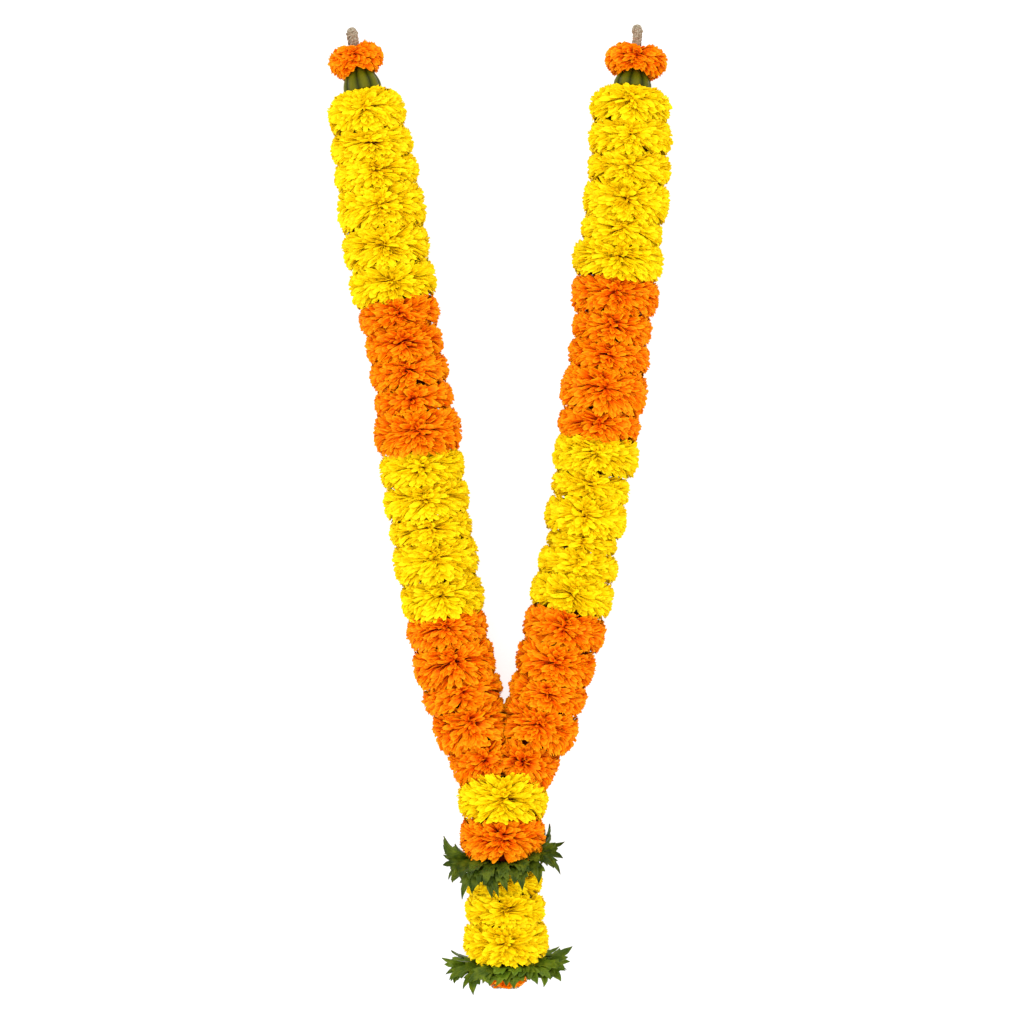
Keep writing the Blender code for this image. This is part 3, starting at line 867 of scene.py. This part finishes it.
def leaf_blades() -> bpy.types.Collection:
    """Pointed leaves with two or three sharp teeth on each side."""
    outline = ((0.0, 0.20), (0.12, 0.30), (0.26, 0.62), (0.38, 0.92), (0.43, 1.0), (0.46, 0.68),
               (0.56, 0.72), (0.65, 0.80), (0.70, 0.82), (0.73, 0.48), (0.82, 0.38), (0.92, 0.18),
               (1.0, 0.02))
    slim = tuple((along, half * (0.86 if along < 0.5 else 0.74)) for along, half in outline)
    broad = tuple((along, half * 1.12 if 0.3 < along < 0.72 else half) for along, half in outline)
    teeth = {4: 0.035, 8: 0.045, 10: 0.01}
    shapes = ((outline, 0.25), (slim, 0.30), (broad, 0.15), (outline, 0.10))
    kinds = [Blade(shape, across=7, thickness=0.045, cup=cup, ruffle=0.05, groove=0.16, teeth=teeth)
             for shape, cup in shapes]
    return blade_set("leaf", kinds, seed=11)


# ---------------------------------------------------------------- turned shapes


@dataclass
class Turned:
    """A closed shape turned around an axis, whose radius may change as it goes round."""

    name: str
    around: int
    finish: Finish

    def mesh(self, rings: list[Span], relief: Relief | None = None) -> bpy.types.Mesh:
        """Builds the shape.

        Args:
            rings: Depth and radius of each ring, round the profile and back; the last joins the first.
            relief: A function of ring number, angle and radius that gives the radius to use.

        Returns:
            The closed mesh, in local axes with z down the line.
        """
        vertices = []
        for number, (depth, radius) in enumerate(rings):
            for index in range(self.around):
                angle = math.tau * index / self.around
                reach = relief(number, angle, radius) if relief else radius
                vertices.append((reach * math.cos(angle), reach * math.sin(angle), depth))
        faces = []
        for ring in range(len(rings)):
            here, there = ring * self.around, (ring + 1) % len(rings) * self.around
            for index in range(self.around):
                after = (index + 1) % self.around
                faces.append((here + index, here + after, there + after, there + index))
        mesh = bpy.data.meshes.new(self.name)
        mesh.from_pydata(vertices, [], faces)
        mesh.materials.append(self.finish.material())
        return mesh


# ---------------------------------------------------------------- flower heads


class Lap(Enum):
    """How a head's last petals meet the next head: the share of its radius that they keep."""

    OVER = 0.94
    UNDER = 0.84
    FREE = 0.74


@dataclass(frozen=True)
class Edge:
    """One end of a head: how far its last petals reach past it, and how they meet the next head."""

    reach: float
    lap: Lap
    rounding: float = 0.0


# The ends of heads that have no other head next to them.
STRAND_TOP = Edge(0.002, Lap.FREE)
TAIL_TOP = Edge(0.006, Lap.OVER, 0.3)
ABOVE_CALYX = Edge(0.006, Lap.FREE)
BELOW_CALYX = Edge(0.0, Lap.FREE)
ABOVE_RUFF = Edge(0.0005, Lap.OVER, 0.35)
BELOW_RUFF = Edge(-0.001, Lap.UNDER, 0.2)


@dataclass(frozen=True)
class HeadCut:
    """What sets large and small heads apart.

    A pinch thins a head above and below the cord, and a sink moves its petals down the line.
    """

    pinch: float = 0.0
    free_lap: float = 0.66
    rim_power: float = 2.3
    sink: float = 0.0
    petal_spacing: float = 0.00335
    half_width: float = 0.0026
    core_share: float = 0.68
    free_core_share: float = 0.50


class HeadSize(Enum):
    """The two sizes of head: those that make up the lines, and those at their ends."""

    LARGE = HeadCut()
    SMALL = HeadCut(pinch=0.42, free_lap=0.50, rim_power=2.4, sink=0.002, petal_spacing=0.0031,
                    half_width=0.0023, free_core_share=0.45)


@dataclass
class FlowerHead:
    """One marigold head strung through its middle: petals fan out from the cord in all directions.

    Each petal has a share, which is its tip's place along the head's depth from -1 to 1, and a turn
    round the cord, whose sine is 1 straight up and -1 straight down.
    """

    node: str
    seat: Seat
    finish: Finish
    limits: Limits
    seed: int
    above: Edge
    below: Edge
    cut: HeadCut
    side_lap: float = 0.86
    crowding: float = 0.72
    middle_share: float = 0.22
    middle_pull: float = 0.45
    middle_reach: float = 0.95
    root_share: float = 0.50
    root_narrowing: float = 0.10
    root_place: float = 0.22
    gather: Span = (0.25, 0.85)
    underside: float = -0.62
    under_share: float = 0.5
    under_width: float = 1.2
    eye: float = 0.62
    share_jitter: float = 0.08
    turn_jitter: float = 0.12
    fan_place: Span = (-0.12, -0.02)
    fan_spread: float = 0.05
    rim_mean: float = 0.985
    rim_spread: float = 0.016
    bend_depth: Span = (0.40, 0.62)
    bend_radius: Span = (0.60, 0.95)
    widths: Span = (0.75, 1.20)
    steep_width: float = 0.25
    twist_spread: Span = (1.15, 0.85)
    tint_shape: Span = (1.3, 3.0)
    # How much painted shade the petals at the head's middle get, for the dark gaps there.
    eye_painted_shade: float = 0.5
    lean_power: float = 0.6
    cover_petals: int = 28
    cover_jitter: float = 0.1
    cover_rise: float = 0.0012
    cover_bend: Span = (0.36, 0.44)
    cover_reach: Span = (1.08, 1.17)
    cover_fall: Span = (0.0016, 0.0030)
    cover_widths: Span = (1.1, 1.5)
    cover_twist: float = 0.25
    cover_tints: Span = (0.2, 0.8)
    inner_cover: float = 0.86

    def spray(self) -> Spray:
        """Places the petals: evenly round the cord, fanned from a line near the head's middle."""
        rng = np.random.default_rng(self.seed)
        seat, cut = self.seat, self.cut
        area = math.tau * seat.radius * (seat.depth + 2.0 * cut.half_width)
        count = int(area / cut.petal_spacing ** 2)
        number = np.arange(count)
        share = 2.0 * (number + 0.5) / count - 1.0
        share = np.sign(share) * np.abs(share) ** self.crowding
        share = share + rng.uniform(-self.share_jitter, self.share_jitter, count)
        middle = rng.random(count) < self.middle_share
        share = np.clip(np.where(middle, share * self.middle_pull, share), -1.0, 1.0)
        turn = number * GOLDEN_TURN + rng.uniform(-self.turn_jitter, self.turn_jitter, count)
        kept = (np.sin(turn) > self.underside) | (rng.random(count) < self.under_share)
        share, turn, middle = share[kept], turn[kept], middle[kept]
        count = len(turn)
        fan_place = rng.uniform(*self.fan_place) + rng.normal(0.0, self.fan_spread, count)
        fan = cut.sink + seat.depth * fan_place
        facing, steep = np.abs(np.sin(turn)), np.abs(share)
        tip_depth = self.tip_depth(share, facing)
        rim = self.rim(share, facing)
        uneven = np.minimum(rng.normal(self.rim_mean, self.rim_spread, count), 1.0)
        tip_radius = seat.radius * rim * uneven * np.where(middle, self.middle_reach, 1.0)
        reach = tip_depth - fan
        root_radius = seat.radius * self.root_share * (1.0 - self.root_narrowing * steep)
        root = (fan + self.root_place * reach, root_radius)
        bend = (fan + reach * rng.uniform(*self.bend_depth, count),
                root_radius + (tip_radius - root_radius) * rng.uniform(*self.bend_radius, count))
        twist = rng.normal(0.0, self.twist_spread[0] - self.twist_spread[1] * steep ** 2)
        near_eye = facing ** 6 * (1.0 - steep) ** 2
        swell = 1.0 + self.steep_width * steep - self.eye * near_eye
        width = cut.half_width * rng.uniform(*self.widths, count) * swell
        width = np.where(np.sin(turn) < self.underside, width * self.under_width, width)
        # Random tone, plus painted shade on petals at the head's middle that face straight up or down.
        tint = np.clip(rng.beta(*self.tint_shape, count) + self.eye_painted_shade * near_eye, 0.0, 1.0)
        across = np.sin(2.0 * turn)
        lean = -rng.uniform(*self.gather, count) * np.sign(across) * np.abs(across) ** self.lean_power
        spray = Spray(turn, root, bend, (tip_depth, tip_radius), width, twist, lean,
                      np.where(reach > 0.0, 1.0, -1.0), tint)
        for way, edge in ((-1.0, self.above), (1.0, self.below)):
            if edge.lap is Lap.FREE:
                spray = spray + self.cover(way, rng)
        return spray

    def tip_depth(self, share: np.ndarray, facing: np.ndarray) -> np.ndarray:
        """How far down the line the petals' tips stand, by their shares and how they face."""
        lower = share > 0.0
        past = np.where(lower, self.below.reach, self.above.reach)
        rounding = np.where(lower, self.below.rounding, self.above.rounding)
        squeeze = 1.0 - self.cut.pinch * facing ** 2
        squeeze = squeeze * (1.0 - rounding * (1.0 - facing) ** 1.5)
        half = self.seat.depth / 2.0 + past * (0.25 + 0.75 * facing)
        return self.cut.sink + share * half * squeeze

    def rim(self, share: np.ndarray, facing: np.ndarray) -> np.ndarray:
        """The share of the head's radius that the petals' tips reach."""
        lower = share > 0.0
        end = np.where(lower, self.below.lap.value, self.above.lap.value)
        beside = np.where(lower, self.beside(self.below), self.beside(self.above))
        end = beside + (end - beside) * facing ** 2
        return 1.0 - (1.0 - end) * np.abs(share) ** self.cut.rim_power

    def beside(self, edge: Edge) -> float:
        """The share of its radius that the head keeps at its sides, at one edge."""
        return self.cut.free_lap if edge.lap is Lap.FREE else self.side_lap

    def cover(self, way: float, rng: np.random.Generator) -> Spray:
        """Two rounds of petals that lie against a free end of the head and hide its core.

        Args:
            way: -1 for the end up the line, 1 for the end down the line.
            rng: Draws their places.

        Returns:
            The petals.
        """
        count = 2 * self.cover_petals
        number = np.arange(count)
        outer = number < self.cover_petals
        turn = math.tau * (number + 0.5 * outer) / self.cover_petals
        turn = turn + rng.uniform(-self.cover_jitter, self.cover_jitter, count)
        face, sink, radius = self.core_half(), self.cut.sink, self.seat.radius
        rim = (self.seat.depth / 2.0) * (1.0 - self.cut.pinch * np.sin(turn) ** 2)
        root = (sink + way * np.full(count, face + 0.0002), np.full(count, CORD_HOLE))
        bend = (sink + way * (np.maximum(rim, face) + self.cover_rise),
                radius * rng.uniform(*self.cover_bend, count))
        reach = radius * self.cut.free_lap * rng.uniform(*self.cover_reach, count)
        tip = (sink + way * (rim - rng.uniform(*self.cover_fall, count)),
               reach * np.where(outer, 1.0, self.inner_cover))
        width = self.cut.half_width * rng.uniform(*self.cover_widths, count)
        return Spray(turn, root, bend, tip, width, rng.normal(0.0, self.cover_twist, count),
                     np.zeros(count), np.full(count, way), rng.uniform(*self.cover_tints, count))

    def core_half(self) -> float:
        """Half the depth of the core."""
        return (self.seat.depth / 2.0 - 0.0004) * (1.0 - 1.2 * self.cut.pinch)

    def core(self) -> bpy.types.Mesh:
        """The middle that the petals grow from, with a hole for the cords; dark as painted shade deep in
        the head.
        """
        half, sink = self.core_half(), self.cut.sink
        free = Lap.FREE in (self.above.lap, self.below.lap)
        wide = self.seat.radius * (self.cut.free_core_share if free else self.cut.core_share)
        outside = [(sink + half * math.sin(a), wide * (0.88 + 0.12 * math.cos(a)))
                   for a in np.linspace(-math.pi / 2, math.pi / 2, 7)]
        hole = [(sink + half, CORD_HOLE), (sink - half, CORD_HOLE)]
        # No UV map, so the core takes the petal ramp's darkest stop: painted shade inside the head.
        return Turned(f"{self.node}_core", 20, self.finish).mesh(outside + hole)

    def build(self, blades: bpy.types.Collection, tree: BladeTree) -> bpy.types.Object:
        """Makes the finished head.

        Args:
            blades: The flat petals.
            tree: The tree that bends them.

        Returns:
            The head's piece.
        """
        mesh = joined([tree.run(self.spray(), blades, self.finish, self.seed), self.core()])
        mesh.transform(self.seat.matrix())
        self.limits.press(mesh)
        return finish_piece(f"{self.node}_petals", mesh, self.finish, self.node)


@dataclass
class Calyx:
    """The ribbed green cup under a head, narrow end up the line."""

    node: str
    seat: Seat
    fit: float = 0.985
    ribs: int = 9
    rib_height: float = 0.0005
    steps: int = 16
    neck: float = 0.0035
    neck_share: float = 0.36
    hole: float = 0.0046

    def ridge(self, angle: float) -> float:
        """How high the ribs stand at an angle: 1 on a rib and 0 in a furrow."""
        return abs(math.cos(self.ribs * angle / 2.0))

    def build(self) -> bpy.types.Object:
        """Makes the finished calyx."""
        half, wide = self.seat.depth / 2.0, self.seat.radius * self.fit
        around = self.ribs * 12
        outside = []
        for step in range(self.steps + 1):
            share = step / self.steps
            bulge = math.sin(math.pi / 2 * min(1.0, 0.12 + 1.08 * share)) ** 0.8
            outside.append((half * (2.0 * share - 1.0) - self.neck * (1.0 - share) ** 2,
                            wide * (self.neck_share + (1.0 - self.neck_share) * bulge)))
        rings = outside + [(half, self.hole), (outside[0][0], self.hole)]

        def relief(ring: int, angle: float, radius: float) -> float:
            """The radius of a ring at an angle: ribbed outside, plain in the hole."""
            if ring >= len(outside):
                return radius
            return radius + self.rib_height * (2.0 * self.ridge(angle) ** 0.7 - 1.6)

        mesh = Turned(self.node, around, Finish.CALYX).mesh(rings, relief)
        angles = [math.tau * (index % around) / around for index in range(len(mesh.vertices))]
        # The rib attribute gives the finish its painted highlight on the ribs and painted shade in the
        # furrows.
        set_attribute(mesh, "rib", [self.ridge(angle) for angle in angles])
        mesh.transform(self.seat.matrix())
        return finish_piece(f"{self.node}_cup", mesh, Finish.CALYX, self.node)


@dataclass(frozen=True)
class RuffCut:
    """How the leaves of a ruff lie, how long those in front and beside are, and their tints.

    Each tier has its depth down the line, its added lean down the line, and its turn in degrees.
    The whole ruff is tilted across the line, in degrees, and its sides are lifted up the line.
    """

    tiers: tuple[tuple[float, float, float], ...]
    front_longer: float
    side_longer: float
    tints: Span
    tilt: float
    side_lift: float


class RuffStyle(Enum):
    """The two ruffs of the tail."""

    UPPER = RuffCut(((-0.0021, -0.75, 0.0), (-0.001, -0.50, 16.0), (0.0, -0.15, 8.0),
                     (0.001, 0.35, 24.0), (0.0021, 0.75, 20.0)), 0.0, 0.04, (0.0, 0.2), 7.0, 0.005)
    LOWER = RuffCut(((-0.0021, -0.30, 4.0), (-0.001, -0.10, 22.0), (0.0, 0.05, 14.0),
                     (0.001, 0.15, 30.0), (0.0021, 0.40, 24.0)), -0.15, 0.10, (0.25, 1.0), 1.5, 0.0)


@dataclass
class LeafRuff:
    """A collar of toothed leaves in tiers between two flower heads."""

    node: str
    seat: Seat
    style: RuffStyle
    limits: Limits
    seed: int
    leaf_angles: tuple[float, ...] = (-34, -4, 26, 54, 80, 106, 134, 164, 194, 238, 282)
    root_radius: float = 0.0115
    reach: float = 0.050
    fold_radius: float = 0.0384
    fold_depth: float = 0.0085
    half_width: float = 0.0066
    lift: float = 0.001
    hub_radius: float = 0.027
    hub_half: float = 0.0014
    facing: float = 1.25
    angle_jitter: float = 0.12
    front_lean: Span = (0.80, 0.20)
    lean_spread: float = 0.06
    lengths: Span = (0.86, 1.08)
    fold_over: float = 1.35
    fold_in: float = 0.85
    bend_share: float = 1.06
    widths: Span = (0.88, 1.12)
    twist_spread: float = 0.25
    side_spread: float = 0.22

    def spray(self) -> Spray:
        """Places the leaves: flat on the surface below, folded over the next head on top."""
        rng = np.random.default_rng(self.seed)
        cut = self.style.value
        tiers = [(np.radians(angle + turned), depth, lean) for depth, lean, turned in cut.tiers
                 for angle in self.leaf_angles]
        angles, depths, leans = (np.array(values) for values in zip(*tiers))
        count = len(angles)
        angles = angles + rng.uniform(-self.angle_jitter, self.angle_jitter, count)
        front = np.maximum(np.sin(angles), 0.0)
        folded = self.front_lean[0] + self.front_lean[1] * leans
        lean = leans * (1.0 - front) + front * folded + rng.normal(0.0, self.lean_spread, count)
        lean = np.clip(lean, -1.0, 1.0)
        beside = np.cos(angles) ** 2
        reach = self.reach * rng.uniform(*self.lengths, count)
        reach *= 1.0 + cut.front_longer * front + cut.side_longer * beside
        over = reach - self.fold_radius
        depths = depths - self.lift - cut.side_lift * np.abs(np.cos(angles)) ** 1.5
        root = (depths, np.full(count, self.root_radius))
        bend = (depths - self.lift * front, np.full(count, self.fold_radius * self.bend_share))
        tip = (depths + lean * (self.fold_depth + over * self.fold_over),
               self.fold_radius + over * (1.0 - self.fold_in * np.abs(lean)))
        width = self.half_width * rng.uniform(*self.widths, count)
        side = np.where(lean >= 0.0, 1.0, -1.0)
        twist = rng.normal(0.0, self.twist_spread, count) - side * self.facing * np.cos(angles)
        return Spray(angles, root, bend, tip, width, twist,
                     rng.normal(0.0, self.side_spread, count), side, rng.uniform(*cut.tints, count))

    def hub(self) -> bpy.types.Mesh:
        """The thin disc that the leaves grow from, with a hole for the cords."""
        half = self.hub_half
        rings = [(-half, self.hub_radius), (half, self.hub_radius), (half, CORD_HOLE), (-half, CORD_HOLE)]
        return Turned(f"{self.node}_hub", 20, Finish.LEAF).mesh(rings)

    def build(self, blades: bpy.types.Collection, tree: BladeTree) -> bpy.types.Object:
        """Makes the finished ruff.

        Args:
            blades: The flat leaves.
            tree: The tree that bends them.

        Returns:
            The ruff's piece.
        """
        mesh = joined([tree.run(self.spray(), blades, Finish.LEAF, self.seed), self.hub()])
        mesh.transform(self.seat.tilted(self.style.value.tilt).matrix())
        self.limits.press(mesh)
        return finish_piece(f"{self.node}_leaves", mesh, Finish.LEAF, self.node)


# ---------------------------------------------------------------- cords


class RopeTree:
    """The tree that lays a rope of twisted strands along a curve."""

    def __init__(self) -> None:
        """Builds the tree."""
        graph = GeometryGraph("laid_rope")
        radius, pitch, strands, furrow, step = (
            graph.entrance(name, "NodeSocketFloat")
            for name in ("Radius", "Pitch", "Strands", "Furrow", "Step"))
        material = graph.entrance("Material", "NodeSocketMaterial")
        spline = graph.node("GeometryNodeSplineParameter")
        circle = graph.add("GeometryNodeCurvePrimitiveCircle", {"Resolution": 18, "Radius": radius})
        turned = graph.out(spline, "Factor") * strands * math.pi
        lobe = graph.math("ABSOLUTE", graph.math("COSINE", turned))
        held = graph.add("GeometryNodeStoreNamedAttribute",
                         {"Geometry": circle, "Name": "lobe", "Value": lobe}, data_type="FLOAT",
                         domain="POINT")
        position = graph.add("GeometryNodeInputPosition")
        shaped = graph.add("ShaderNodeVectorMath", {0: position, "Scale": 1.0 - furrow * (1.0 - lobe)},
                           operation="SCALE")
        profile = graph.add("GeometryNodeSetPosition", {"Geometry": held, "Position": shaped})
        even = graph.add("GeometryNodeResampleCurve", {"Curve": graph.geometry, "Length": step},
                         mode="LENGTH")
        tilt = graph.out(spline, "Length") * math.tau / pitch
        twisted = graph.add("GeometryNodeSetCurveTilt", {"Curve": even, "Tilt": tilt})
        tube = graph.add("GeometryNodeCurveToMesh", {"Curve": twisted, "Profile Curve": profile,
                                                     "Fill Caps": True})
        graph.close(tube, material)
        self.graph = graph

    def run(self, points: list[Vector], radius: float, pitch: float,
            cyclic: bool = False) -> bpy.types.Mesh:
        """Lays a rope along points.

        Args:
            points: The rope's middle line.
            radius: The rope's radius.
            pitch: The length of one turn of its strands.
            cyclic: Whether the rope closes on itself.

        Returns:
            The rope's mesh.
        """
        curve = bpy.data.curves.new("rope_line", "CURVE")
        curve.dimensions = "3D"
        spline = curve.splines.new("POLY")
        spline.points.add(len(points) - 1)
        for point, place in zip(spline.points, points):
            point.co = (*place, 1.0)
        spline.use_cyclic_u = cyclic
        return self.graph.run(curve, {"Radius": radius, "Pitch": pitch, "Strands": 3.0, "Furrow": 0.22,
                                      "Step": pitch / 7.0, "Material": Finish.JUTE.material()})


@dataclass
class Cord:
    """A jute cord: hidden in the flower heads, with a bound knob on its free end."""

    node: str
    line: CordLine
    radius: float = 0.0037
    pitch: float = 0.0125
    step: float = 0.006
    knob_radius: float = 0.0043
    knob_length: float = 0.017
    knob_taper: float = 0.10
    knob_lobe: float = 0.85
    tip_share: float = 0.04
    lump_size: float = 0.30
    lump_scale: float = 1.8
    winding_size: float = 0.06
    winding_scale: float = 4200.0

    def knob(self) -> bpy.types.Mesh:
        """The rounded, knobbly end of the cord."""
        wide, straight = self.knob_radius, self.knob_length - self.knob_radius
        rings = []
        for step in range(7):
            turn = math.pi / 2 * step / 6
            rings.append((wide - wide * math.cos(turn), wide * max(math.sin(turn), self.tip_share)))
        for step in range(1, 15):
            share = step / 14
            rings.append((wide + straight * share, wide * (1.0 - self.knob_taper * share)))

        def relief(ring: int, angle: float, radius: float) -> float:
            """The radius of a ring at an angle, with lumps and the winding of the fibres."""
            depth = rings[ring][0]
            place = Vector((math.cos(angle), math.sin(angle), depth / wide)) * self.lump_scale
            winding = self.winding_size * math.sin(depth * self.winding_scale + angle)
            return radius * (0.93 + self.lump_size * noise.noise(place) + winding)

        mesh = Turned(f"{self.node}_knob", 28, Finish.JUTE).mesh(rings, relief)
        # One lobe value for the whole knob, which darkens it a little with the rope's painted furrow
        # shade.
        set_attribute(mesh, "lobe", [self.knob_lobe] * len(mesh.vertices))
        axis = self.line.direction(self.line.top - self.knob_length / 2)
        mesh.transform(Seat(self.line.at(self.line.top), axis, 0.0, 0.0).matrix())
        return mesh

    def build(self, tree: RopeTree) -> bpy.types.Object:
        """Makes the finished cord."""
        top, bottom = self.line.top - self.knob_radius, self.line.bottom
        count = int((top - bottom) / self.step)
        points = [self.line.at(top + (bottom - top) * i / count) for i in range(count + 1)]
        mesh = joined([tree.run(points, self.radius, self.pitch), self.knob()])
        return finish_piece(f"{self.node}_rope", mesh, Finish.JUTE, self.node)


@dataclass
class Knot:
    """The flat knot that ties off both cords."""

    node: str
    seat: Seat
    rope_radius: float = 0.0026
    pitch: float = 0.008
    steps: int = 72

    def build(self, tree: RopeTree) -> bpy.types.Object:
        """Makes the finished knot: three loops that pass over and under each other."""
        size = (self.seat.radius - self.rope_radius) / 3.0
        lift = self.seat.depth / 2.0 - self.rope_radius
        points = []
        for step in range(self.steps):
            t = math.tau * step / self.steps
            points.append(Vector((size * (math.sin(t) + 2.0 * math.sin(2.0 * t)),
                                  size * (math.cos(t) - 2.0 * math.cos(2.0 * t)),
                                  -lift * math.sin(3.0 * t))))
        mesh = tree.run(points, self.rope_radius, self.pitch, cyclic=True)
        mesh.transform(self.seat.matrix())
        return finish_piece(f"{self.node}_rope", mesh, Finish.JUTE, self.node)


# ---------------------------------------------------------------- the garland


@dataclass
class Garland:
    """The whole garland, strung as its frame says."""

    nodes: dict[str, bpy.types.Object]
    seed: int = 51
    drape: Span = (0.003, 0.006)
    next_drape: float = 0.7
    tuck: float = 0.0015
    lapped_over: float = 0.75
    parting: float = 0.0046
    under_leaves: tuple[str, ...] = ("tail_bloom_02", "tail_bloom_05")

    def __post_init__(self) -> None:
        """Reads the cords and makes the trees and flat blades that the pieces share."""
        self.lines = {side: CordLine(self.nodes[f"{side}_cord"]) for side in ("left", "right")}
        self.lines["tail"] = CordLine(self.nodes["left_cord"], self.nodes["right_cord"])
        self.petals = petal_blades()
        self.leaves = leaf_blades()
        self.blade_tree = BladeTree()
        self.rope_tree = RopeTree()
        self.rng = np.random.default_rng(self.seed)

    def line_of(self, node: str) -> CordLine:
        """The cord line that a node is strung on."""
        return self.lines.get(node.split("_")[0], self.lines["tail"])

    def seat_of(self, node: str) -> Seat:
        """The seat of a node on its line."""
        return Seat.of(self.nodes[node], self.line_of(node))

    def finish_of(self, node: str) -> Finish:
        """The petals' finish, from the node's own material."""
        name = self.nodes[node].data.materials[0].name
        return Finish.YELLOW if "yellow" in name else Finish.ORANGE

    def limits_of(self, node: str) -> Limits:
        """The limits of a head: the floor, and the parting plane on a strand."""
        if node.startswith("left"):
            return Limits(parting=self.parting, parting_side=-1.0)
        if node.startswith("right"):
            return Limits(parting=self.parting, parting_side=1.0)
        return Limits()

    def heads(self, nodes: list[str]) -> None:
        """Makes the heads of one line from the top, each lapped over or under the next."""
        tail = nodes[0].startswith("tail")
        above = TAIL_TOP if tail else STRAND_TOP
        for number, node in enumerate(nodes):
            over = self.rng.random() < self.lapped_over or node in self.under_leaves
            drape = float(self.rng.uniform(*self.drape))
            seed = int(self.rng.integers(1 << 30))
            size = HeadSize.LARGE
            if number == 0 and not tail:
                size, below, above_next = HeadSize.SMALL, ABOVE_CALYX, BELOW_CALYX
            elif node in self.under_leaves:
                below, above_next = ABOVE_RUFF, BELOW_RUFF
            elif over:
                below, above_next = Edge(drape, Lap.OVER), Edge(self.tuck, Lap.UNDER)
            else:
                below, above_next = Edge(self.tuck, Lap.UNDER), Edge(drape * self.next_drape, Lap.OVER)
            head = FlowerHead(node, self.seat_of(node), self.finish_of(node), self.limits_of(node),
                              seed, above, below, size.value)
            head.build(self.petals, self.blade_tree)
            above = above_next

    def build(self) -> None:
        """Makes every piece of the garland."""
        names = sorted(self.nodes)
        for side in ("left", "right", "tail", "end"):
            self.heads([name for name in names if name.startswith(f"{side}_bloom")])
        for side in ("left", "right"):
            Calyx(f"{side}_calyx", self.seat_of(f"{side}_calyx")).build()
            Cord(f"{side}_cord", self.lines[side]).build(self.rope_tree)
        ruffs = (("upper_leaf_ruff", RuffStyle.UPPER, "tail_bloom_02", "tail_bloom_03"),
                 ("lower_leaf_ruff", RuffStyle.LOWER, "tail_bloom_05", "end_bloom"))
        for node, style, above, below in ruffs:
            seat = Seat.between(self.seat_of(above), self.seat_of(below))
            ruff = LeafRuff(node, seat, style, Limits(), int(self.rng.integers(1 << 30)))
            ruff.build(self.leaves, self.blade_tree)
        Knot("tail_knot", self.seat_of("tail_knot")).build(self.rope_tree)


# ---------------------------------------------------------------- floor, light and camera


@dataclass
class Studio:
    """A pale floor, soft light from the upper left, and a camera that looks straight down."""

    camera_place: tuple[float, float, float] = (0.0104, -0.0044, 3.23)
    lens: float = 140.6
    sensor: float = 36.0
    floor_size: float = 6.0
    sky: float = 1.46
    key_place: tuple[float, float, float] = (-0.7, 0.8, 2.6)
    key_power: float = 16.0
    key_size: float = 1.6

    def build(self) -> None:
        """Makes the floor, the lights and the camera."""
        self.floor()
        self.lights()
        self.camera()
        bpy.context.scene.view_settings.view_transform = "Standard"

    def floor(self) -> None:
        """Makes the floor."""
        bpy.ops.mesh.primitive_plane_add(size=self.floor_size)
        floor = bpy.context.object
        floor.name = "floor"
        floor.data.materials.append(FloorFinish().make())

    def lights(self) -> None:
        """Makes the soft white sky and the broad lamp at the upper left."""
        world = bpy.data.worlds.new("soft_white")
        world.use_nodes = True
        background = world.node_tree.nodes["Background"]
        background.inputs["Color"].default_value = (1.0, 1.0, 1.0, 1.0)
        background.inputs["Strength"].default_value = self.sky
        bpy.context.scene.world = world
        key = bpy.data.lights.new("key", "AREA")
        key.energy = self.key_power
        key.size = self.key_size
        lamp = link("key", key)
        lamp.location = self.key_place
        lamp.rotation_euler = (-lamp.location).to_track_quat("-Z", "Y").to_euler()

    def camera(self) -> None:
        """Makes the camera, straight above the garland's middle."""
        camera = bpy.data.cameras.new("camera")
        camera.lens = self.lens
        camera.sensor_width = self.sensor
        eye = link("camera", camera)
        eye.location = self.camera_place
        bpy.context.scene.camera = eye


def main() -> None:
    """Builds the garland around the frame, then the studio."""
    logging.basicConfig(level=logging.INFO, format="%(message)s")
    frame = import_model()
    Garland(frame["nodes"]).build()
    Studio().build()


if __name__ == "__main__":
    main()
